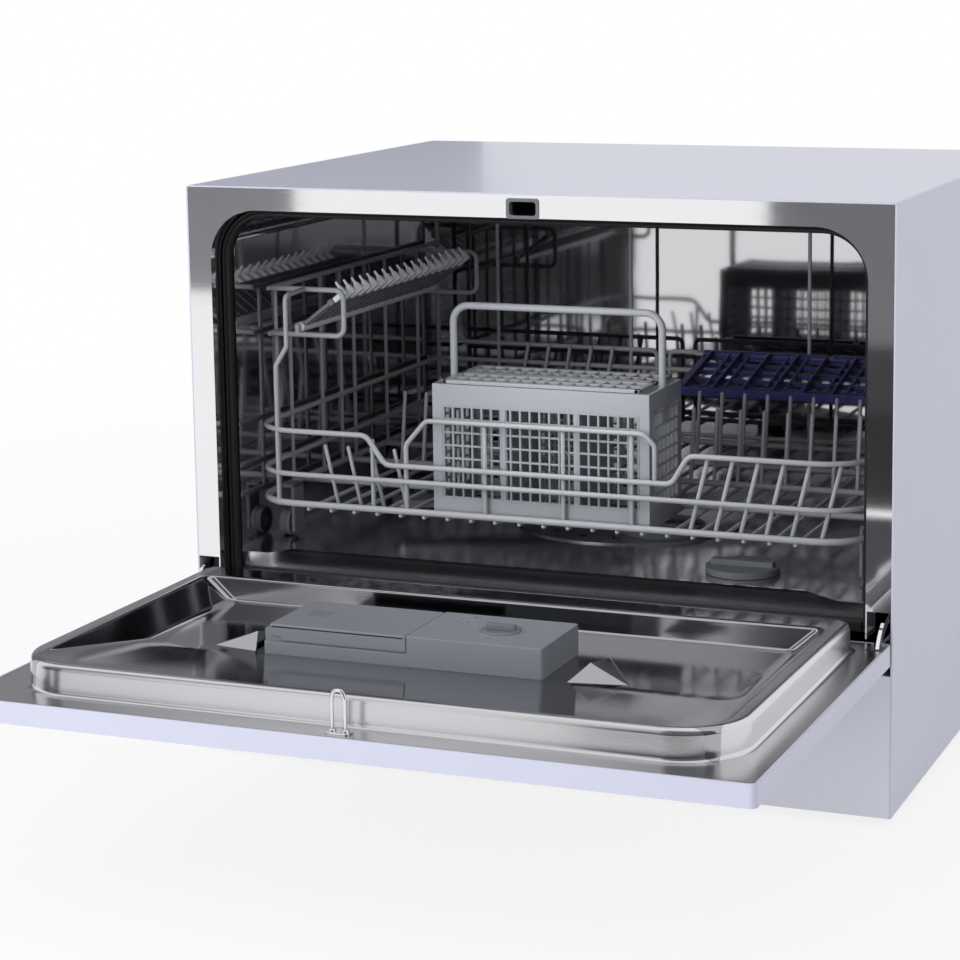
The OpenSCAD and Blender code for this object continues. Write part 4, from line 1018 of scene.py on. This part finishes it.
# %% Dispenser housing
DX0, DX1, DY0, DY1, DTOP = -127.0, 81.0, -177.0, -107.0, 153.0
LID_X, CAP = -18.0, (38.0, -143.0)
housing = Shape()
housing.block((LID_X - 1, DY0, DISH_Z - 0.5), (DX1, DY1, DTOP), 1.3, 2.2)
housing.block((DX0, DY0, DISH_Z - 0.5), (LID_X + 2, DY1, DISH_Z + 9.4), 1.0, 2.2)
housing.block((DX0, DY0 + 1.9, DISH_Z), (LID_X + 2, DY1, DTOP - 4.0), 1.0, 2.0)
housing.turned([(15.2, DTOP - 0.3), (15.4, DTOP + 0.35), (16.6, DTOP + 0.35), (17.0, DTOP - 0.3)],
               (*CAP, 0), "Z", 48, hole=True)
for i in range(5):
    a = math.radians(200 + 32 * i)
    dot = Vector((CAP[0] + 20 * math.cos(a), CAP[1] + 20 * math.sin(a), 0))
    housing.turned([(1.1, DTOP - 0.2), (1.0, DTOP + 0.35), (0.6, DTOP + 0.5)], dot, "Z", 12)
housing.turned([(4.6, DTOP - 0.2), (4.6, DTOP + 0.3), (3.9, DTOP + 0.5), (3.6, DTOP - 0.1)],
               (3, -128, 0), "Z", 24)
housing.block((-10, -118.5, DTOP - 0.3), (9, -112.5, DTOP + 0.7), 0.3, 2.4)
housing.keep("dispenser_housing", "dispenser_grey", "dispenser_body")

# %% Dispenser lid and rinse cap
lid_shape, LID_END = Shape(), LID_X - 0.9
lid_shape.block((DX0 + 5, DY0, DTOP - 3.5), (LID_END, DY1 - 2, DTOP), 1.0, 1.8)
lid_shape.block((DX0 + 5, DY0, DTOP - 8.6), (LID_END, DY0 + 1.5, DTOP - 1.2), 0.5, 0.7)
lid_shape.block((DX0 + 14, DY0, DTOP - 11.6), (LID_END, DY0 + 1.5, DTOP - 7.6), 0.5, 0.7)
for i in range(6):
    x = DX0 + 18 + 3.2 * i
    lid_shape.block((x, -150, DTOP - 0.3), (x + 1.4, -134, DTOP + 0.45), 0.25, 0.6)
lid_shape.keep("dispenser_flap", "dispenser_grey", "dispenser_lid")

cap = Shape().turned([(13.4, 150.4), (14.0, 151.2), (14.0, 153.4), (13.2, 154.2), (10.2, 154.3),
                      (9.4, 153.7), (5.0, 153.6)], (*CAP, 0), "Z", 48)
cap.block((CAP[0] - 11, CAP[1] - 2.3, 153.2), (CAP[0] + 11, CAP[1] + 2.3, 158.2), 1.0, 2.2)
cap.block((CAP[0] + 5, CAP[1] - 0.5, 157.8), (CAP[0] + 10, CAP[1] + 0.5, 158.3), 0.12, 0.4)
cap.keep("rinse_cap", "grey_plastic", "rinse_aid_cap")

# %% [markdown]
# ## Cup shelves
# On the left a comb of natural plastic hangs over the wire loops; its teeth hold the stems of
# glasses. On the right a dark shelf with ribs and slots swings down over the plates. Teeth and
# ribs repeat, so a small tree sets copies of one rib along a line.

# %% Ribs in a row
rib_tree = Tree("ribs_in_a_row", Count=8, Step=Vector((0, 0.01, 0)))
rib_places = rib_tree.add("GeometryNodeMeshLine", {"mode": "OFFSET", "count_mode": "TOTAL"},
                          Count=rib_tree.given("Count"), Offset=rib_tree.given("Step"))
rib_tree.close(rib_tree.add("GeometryNodeInstanceOnPoints", {}, Points=rib_places,
                            Instance=rib_tree.given("Geometry")))


def rib_row(rib, count, step, finish):
    return rib_tree.grow("ribs", rib, finish, Count=count, Step=[s / 1000 for s in step])


def sleeve(low, high):
    """The profile of a tube that turns on a shelf's pivot wire."""
    return [(1.78, low), (3.4, low), (4.0, low + 0.7), (4.0, high - 0.7), (3.4, high), (1.78, high)]


print("rib tree has", len(rib_tree.tree.nodes), "nodes")

# %% Left shelf: a comb
COMB_Y0, COMB_Y1, TEETH, TOOTH_STEP = 79.0, 341.0, 18, (0, 14.4, 0)
COMB_LEAN, SHELF_DROP = math.radians(-37), math.radians(12.5)
stem = Shape().turned(sleeve(COMB_Y0, COMB_Y1), (0, 0, 0), "Y", 24, hole=True)
plate = Shape()
plate.block((3.2, COMB_Y0 + 1, -1.4), (34, COMB_Y1 - 1, 1.4), 0.5, 3)
plate.block((31, COMB_Y0 + 1, -2.6), (36.5, COMB_Y1 - 1, 2.6), 0.8, 2)
rib = Shape().block((5, COMB_Y0 + 5.7, -2.4), (33, COMB_Y0 + 7.3, 2.4), 0.5, 0.8)
tooth = Shape().block((34, COMB_Y0 + 3, -2.4), (48.8, COMB_Y0 + 9.6, 2.4), 1.2, 3.2)
tooth.turned([(1.4, 1.4), (2.7, 2.0), (2.5, 4.6), (1.2, 6.6), (0.9, 11.0)],
             (45.6, COMB_Y0 + 6.3, 0), "Z", 12)
lean = Matrix.Translation((COMB_X, 0, COMB_Z)) @ Matrix.Rotation(COMB_LEAN, 4, "Y")
plate_mesh, rib_mesh = plate.turn(lean).done("plate"), rib.turn(lean).done("rib")
stem_mesh, tooth_mesh = stem.turn(lean).done("stem"), tooth.turn(lean).done("tooth")
ribs = rib_row(rib_mesh, TEETH, TOOTH_STEP, "light_grey_plastic")
teeth = rib_row(tooth_mesh, TEETH, TOOTH_STEP, "pale_plastic")
keep("comb_plate", joined("comb_plate", plate_mesh, ribs), "light_grey_plastic", "left_cup_shelf")
keep("comb_teeth", joined("comb_teeth", stem_mesh, teeth), "pale_plastic", "left_cup_shelf",
     replaces=False)

# %% Right shelf: ribs and slots
HINGE = Vector((0, PIVOT_Y, SHELF_Z))
SX0, SX1, DEEP = 10.0, 233.0, 86.0
drop = Matrix.Translation(HINGE) @ Matrix.Rotation(SHELF_DROP, 4, "X")
shelf = Shape()
for low_x, high_x in ((SX0, 120.2), (125.8, SX1)):
    shelf.turned(sleeve(low_x, high_x), (0, 0, 0), "X", 24, hole=True)
shelf.block((SX0, -DEEP, -3.9), (SX1, -DEEP + 2.8, 3.9), 0.8, 1.3)
for x in (SX0, SX1 - 7.6):
    shelf.block((x, -DEEP + 1, -1.2), (x + 7.6, -3.4, 1.2), 0.5, 1.5)
for y in (-DEEP + 2, -10.5):
    shelf.block((SX0, y, -1.2), (SX1, y + 7, 1.2), 0.5, 1.5)
grid = lattice(SX1 - SX0 - 14, DEEP - 17, 12, 4, 5.0, 4.0, 2.2, "navy_plastic")
rib = Shape().block((SX0 + 8, -DEEP + 1, 0.2), (SX0 + 10, -4.2, 5.8), 0.5, 0.9)
to_metres = Matrix.Translation(at(0, 0, 0)) @ Matrix.Diagonal((0.001, 0.001, 0.001, 1)) @ drop
grid_place = (to_metres @ Matrix.Diagonal((1000, 1000, 1000, 1)) @
              Matrix.Translation((0.017, -0.0755, 0)) @
              Matrix(((1, 0, 0, 0), (0, 0, 1, 0), (0, -1, 0, 0), (0, 0, 0, 1))))
shelf_mesh, rib_mesh = shelf.turn(drop).done("shelf"), rib.turn(drop).done("rib")
ribs = rib_row(rib_mesh, 9, (25.6, 0, 0), "navy_plastic")
keep("cup_shelf_navy", joined("cup_shelf", shelf_mesh, ribs, (grid, grid_place)), "navy_plastic",
     "right_cup_shelf")

# %% [markdown]
# ## Small fittings
# A moulded bezel rims the slot that the latch hook enters. Eight pan-head screws hold the rear
# panel. On the fascia a thin ring goes round each button, with a small light above it. None of
# these are in the solid model, so they are added to a solid that stays, and replace nothing.

# %% Bezel and screws
LATCH_Z, REAR, SCREW_X = 427.0, 461.0, 262
BEZEL = ((-0.05, 12.8), (-0.5, 12.8), (-0.7, 12.5), (-0.7, 10.6), (-0.5, 10.3), (6.0, 10.3),
         (6.0, 12.8))
rims = []
for y, out in BEZEL:
    ring = rounded_ring(-out, out, LATCH_Z + 5.3 - out, LATCH_Z - 5.3 + out, 2.2, 4)
    rims.append([(x, y, z) for x, z in ring])
bezel = Shape().loft(rims + [rims[0]], caps=False)
bezel.keep("latch_bezel", "grey_plastic", "latch_housing", replaces=False)

SCREW = [(4.2, -0.1), (4.2, 0.5), (3.5, 1.4), (2.2, 1.8), (1.4, 1.8), (1.2, 1.0), (0.1, 1.0)]
screw = Shape()
for height in (426, 300, 160, 12):
    screw.turned([(r, REAR + out) for r, out in SCREW], (-SCREW_X, 0, height), "Y", 24)
screws = rib_row(screw.done("screw"), 2, (2 * SCREW_X, 0, 0), "bright_steel")
keep("rear_screws", screws, "bright_steel", "rear_panel", replaces=False)

# %% Button rings and lights
BUTTON_Z, BUTTON_XS = 55.0, (-180, 90, 130, 170)
RING = [(7.45, 0.05), (7.45, -0.35), (7.7, -0.55), (8.6, -0.55), (8.9, -0.35), (8.9, 0.05)]
rings, lights = Shape(), Shape()
for x in BUTTON_XS:
    rings.turned(RING, (x, 0, BUTTON_Z), "Y", 48, hole=True)
    lights.turned([(1.5, 0.1), (1.5, -0.2), (1.1, -0.4)], (x, 0, BUTTON_Z + 15), "Y", 20)
rings.keep("button_rings", "light_grey_plastic", "fascia", replaces=False)
lights.keep("status_lights", "grey_plastic", "fascia", replaces=False)

# %% [markdown]
# ## Door seal
# The seal is an extruded rubber profile that is pushed into a channel around the tub's mouth. The
# same section is carried along the whole path, with two ribs on its face, so it is a sweep.

# %% Door seal
seal_low, seal_high = limits("door_seal")
outer = seal_high.x
corner_r = CORNER - 0.3
path = [(-outer, seal_low.z, -1, 0)]
ARC_STEPS = 16
for cx, start in ((-outer + corner_r, 180), (outer - corner_r, 90)):
    for i in range(ARC_STEPS + 1):
        a = math.radians(start - 90 * i / ARC_STEPS)
        path.append((cx + corner_r * math.cos(a), seal_high.z - corner_r + corner_r * math.sin(a),
                     math.cos(a), math.sin(a)))
path.append((outer, seal_low.z, 1, 0))
section_points = [(0.2, 0.6), (1.0, 0.1), (1.9, 0.5), (2.6, 1.4), (3.3, 0.6), (4.2, 0.1),
                  (5.1, 0.5), (5.9, 1.8), (6.3, 3.2), (6.2, 5.6), (5.4, 7.4), (3.0, 7.8),
                  (0.5, 7.7), (0.1, 5.0)]
seal = Shape().loft([[(x - nx * inward, seal_low.y + back_by, z - nz * inward)
                      for inward, back_by in section_points] for x, z, nx, nz in path])
seal.block((-outer + 6, seal_low.y + 0.4, seal_low.z),
           (outer - 6, seal_high.y - 0.2, seal_low.z + 7.6), 1.2, 2)
seal.keep("mouth_seal", "black_rubber", "door_seal", soft_below=math.radians(60))
print("pieces in all:", len(pieces))

# %% [markdown]
# ## The studio
# A wide pale floor, a white surround that only the camera and mirrors see at full white, and soft
# lamps. Grey cards stand where only mirrors see them: polished steel has no look of its own, so
# what it mirrors has to be there. A small lamp in the mouth of the tub lights the rack.

# %% Planes of the stage
def stage_plane(name, corners, colour, roughness=0.9, seen=True):
    mesh = bpy.data.meshes.new(name)
    mesh.from_pydata([Vector(c) for c in corners], [], [(0, 1, 2, 3)])
    plane = linked(name, mesh)
    sheet = Finish(name + "_paint", colour, roughness)
    mesh.materials.append(sheet.material)
    if not seen:
        plane.visible_camera = plane.visible_diffuse = plane.visible_shadow = False
        plane.visible_transmission = False


print("finishes before the stage:", len(finishes))

# %% [markdown]
# The floor fades to white with distance: it keeps the shadow near the machine and has no horizon.
# Only the camera and mirrors see the fade, so the light on the object doesn't change.

# %% Floor
FLOOR_HALF, FLOOR_Z_METRES = 14, cad_box[0][2]
stage_plane("floor", [(x * FLOOR_HALF, y * FLOOR_HALF, FLOOR_Z_METRES)
                      for x, y in ((-1, -1), (1, -1), (1, 1), (-1, 1))], (0.86, 0.86, 0.865))
floor_net = Net(bpy.data.materials["floor_paint"].node_tree)
painted_floor = Value(floor_net, floor_net.tree.nodes["Principled BSDF"].outputs[0])
path = floor_net.add("ShaderNodeLightPath")
open_view = path + path.part("Is Glossy Ray") + path.part("Is Transmission Ray")
spot = floor_net.add("ShaderNodeTexCoord").part("Object")
reach = floor_net.add("ShaderNodeVectorMath", {"operation": "LENGTH"}, spot).part("Value")
FADE_FROM, FADE_TO, NEAR_FADE = 0.4, 2.0, 0.84
fade = floor_net.add("ShaderNodeMapRange", {}, reach, FADE_FROM, FADE_TO, NEAR_FADE, 1.0)
lit = floor_net.add("ShaderNodeEmission", {}, Color=(1, 1, 1, 1), Strength=1.0)
blend = floor_net.add("ShaderNodeMixShader", {}, open_view * fade, painted_floor, lit)
floor_net.plug(floor_net.tree.nodes["Material Output"].inputs["Surface"], blend)
print("floor at", round(FLOOR_Z_METRES, 4), "m")


# %% Cards
def card(name, x0, x1, y, z0, z1, grey):
    low, high = at(x0, y, z0), at(x1, y, z1)
    stage_plane(name, [(low.x, low.y, low.z), (high.x, low.y, low.z), (high.x, low.y, high.z),
                       (low.x, low.y, high.z)], (grey, grey, grey * 1.03), seen=False)


card("card_left", -4200, -943, -1500, 137, 2600, 0.30)
card("card_left_low", -943, -775, -1500, -4, 200, 0.04)
card("card_inner_left", -560, -437, -600, 4, 300, 0.03)
card("card_far_left", -1500, -665, -600, 4, 330, 0.04)
card("card_right_top", -257, 3600, -1500, 100, 2600, 0.22)
card("card_right", -257, 3600, -1500, -4, 100, 0.05)
card("card_right_low", 60, 1500, -560, 98, 188, 0.05)
card("card_behind_left", -2500, -290, 620, 20, 2600, 0.25)

# %% World
world = bpy.data.worlds.new("studio")
bpy.context.scene.world = world
world.use_nodes = True
sky = Net(world.node_tree)
rays = sky.add("ShaderNodeLightPath")
soft = sky.add("ShaderNodeBackground", {}, Color=(0.93, 0.94, 1.0, 1), Strength=0.55)
white = sky.add("ShaderNodeBackground", {}, Color=(1, 1, 1, 1), Strength=1.0)
seen = rays + rays.part("Is Glossy Ray") + rays.part("Is Transmission Ray")
sky.plug(world.node_tree.nodes["World Output"].inputs["Surface"],
         sky.add("ShaderNodeMixShader", {}, seen, soft, white))
print("world:", len(sky.tree.nodes), "nodes")


# %% Lamps
def lamp(name, position, target, size, power):
    data = bpy.data.lights.new(name, "AREA")
    data.shape, data.size, data.energy = "SQUARE", size, power
    item = linked(name, data)
    item.location = at(*position)
    item.visible_glossy = False
    item.rotation_mode = "QUATERNION"
    item.rotation_quaternion = (at(*target) - item.location).to_track_quat("-Z", "Y")


lamp("key_lamp", (-1500, -1500, 2300), (0, 100, 200), 1.6, 17)
lamp("fill_lamp", (2400, -900, 1500), (0, 100, 200), 1.8, 8)
lamp("top_lamp", (100, 500, 2600), (0, 200, 200), 1.8, 8)
lamp("front_lamp", (-900, -2200, 430), (0, 0, 200), 1.4, 33)
lamp("tub_lamp", (20, -40, 350), (20, 160, 40), 0.16, 0.17)
bpy.context.scene.view_settings.view_transform = "Standard"
print("studio ready")

# %% [markdown]
# The solid model's box is printed, in metres. The visual model has to stay inside the solid
# model's box.

# %% Sizes and finish
print("CAD box   ", [[round(v, 4) for v in c] for c in cad_box])
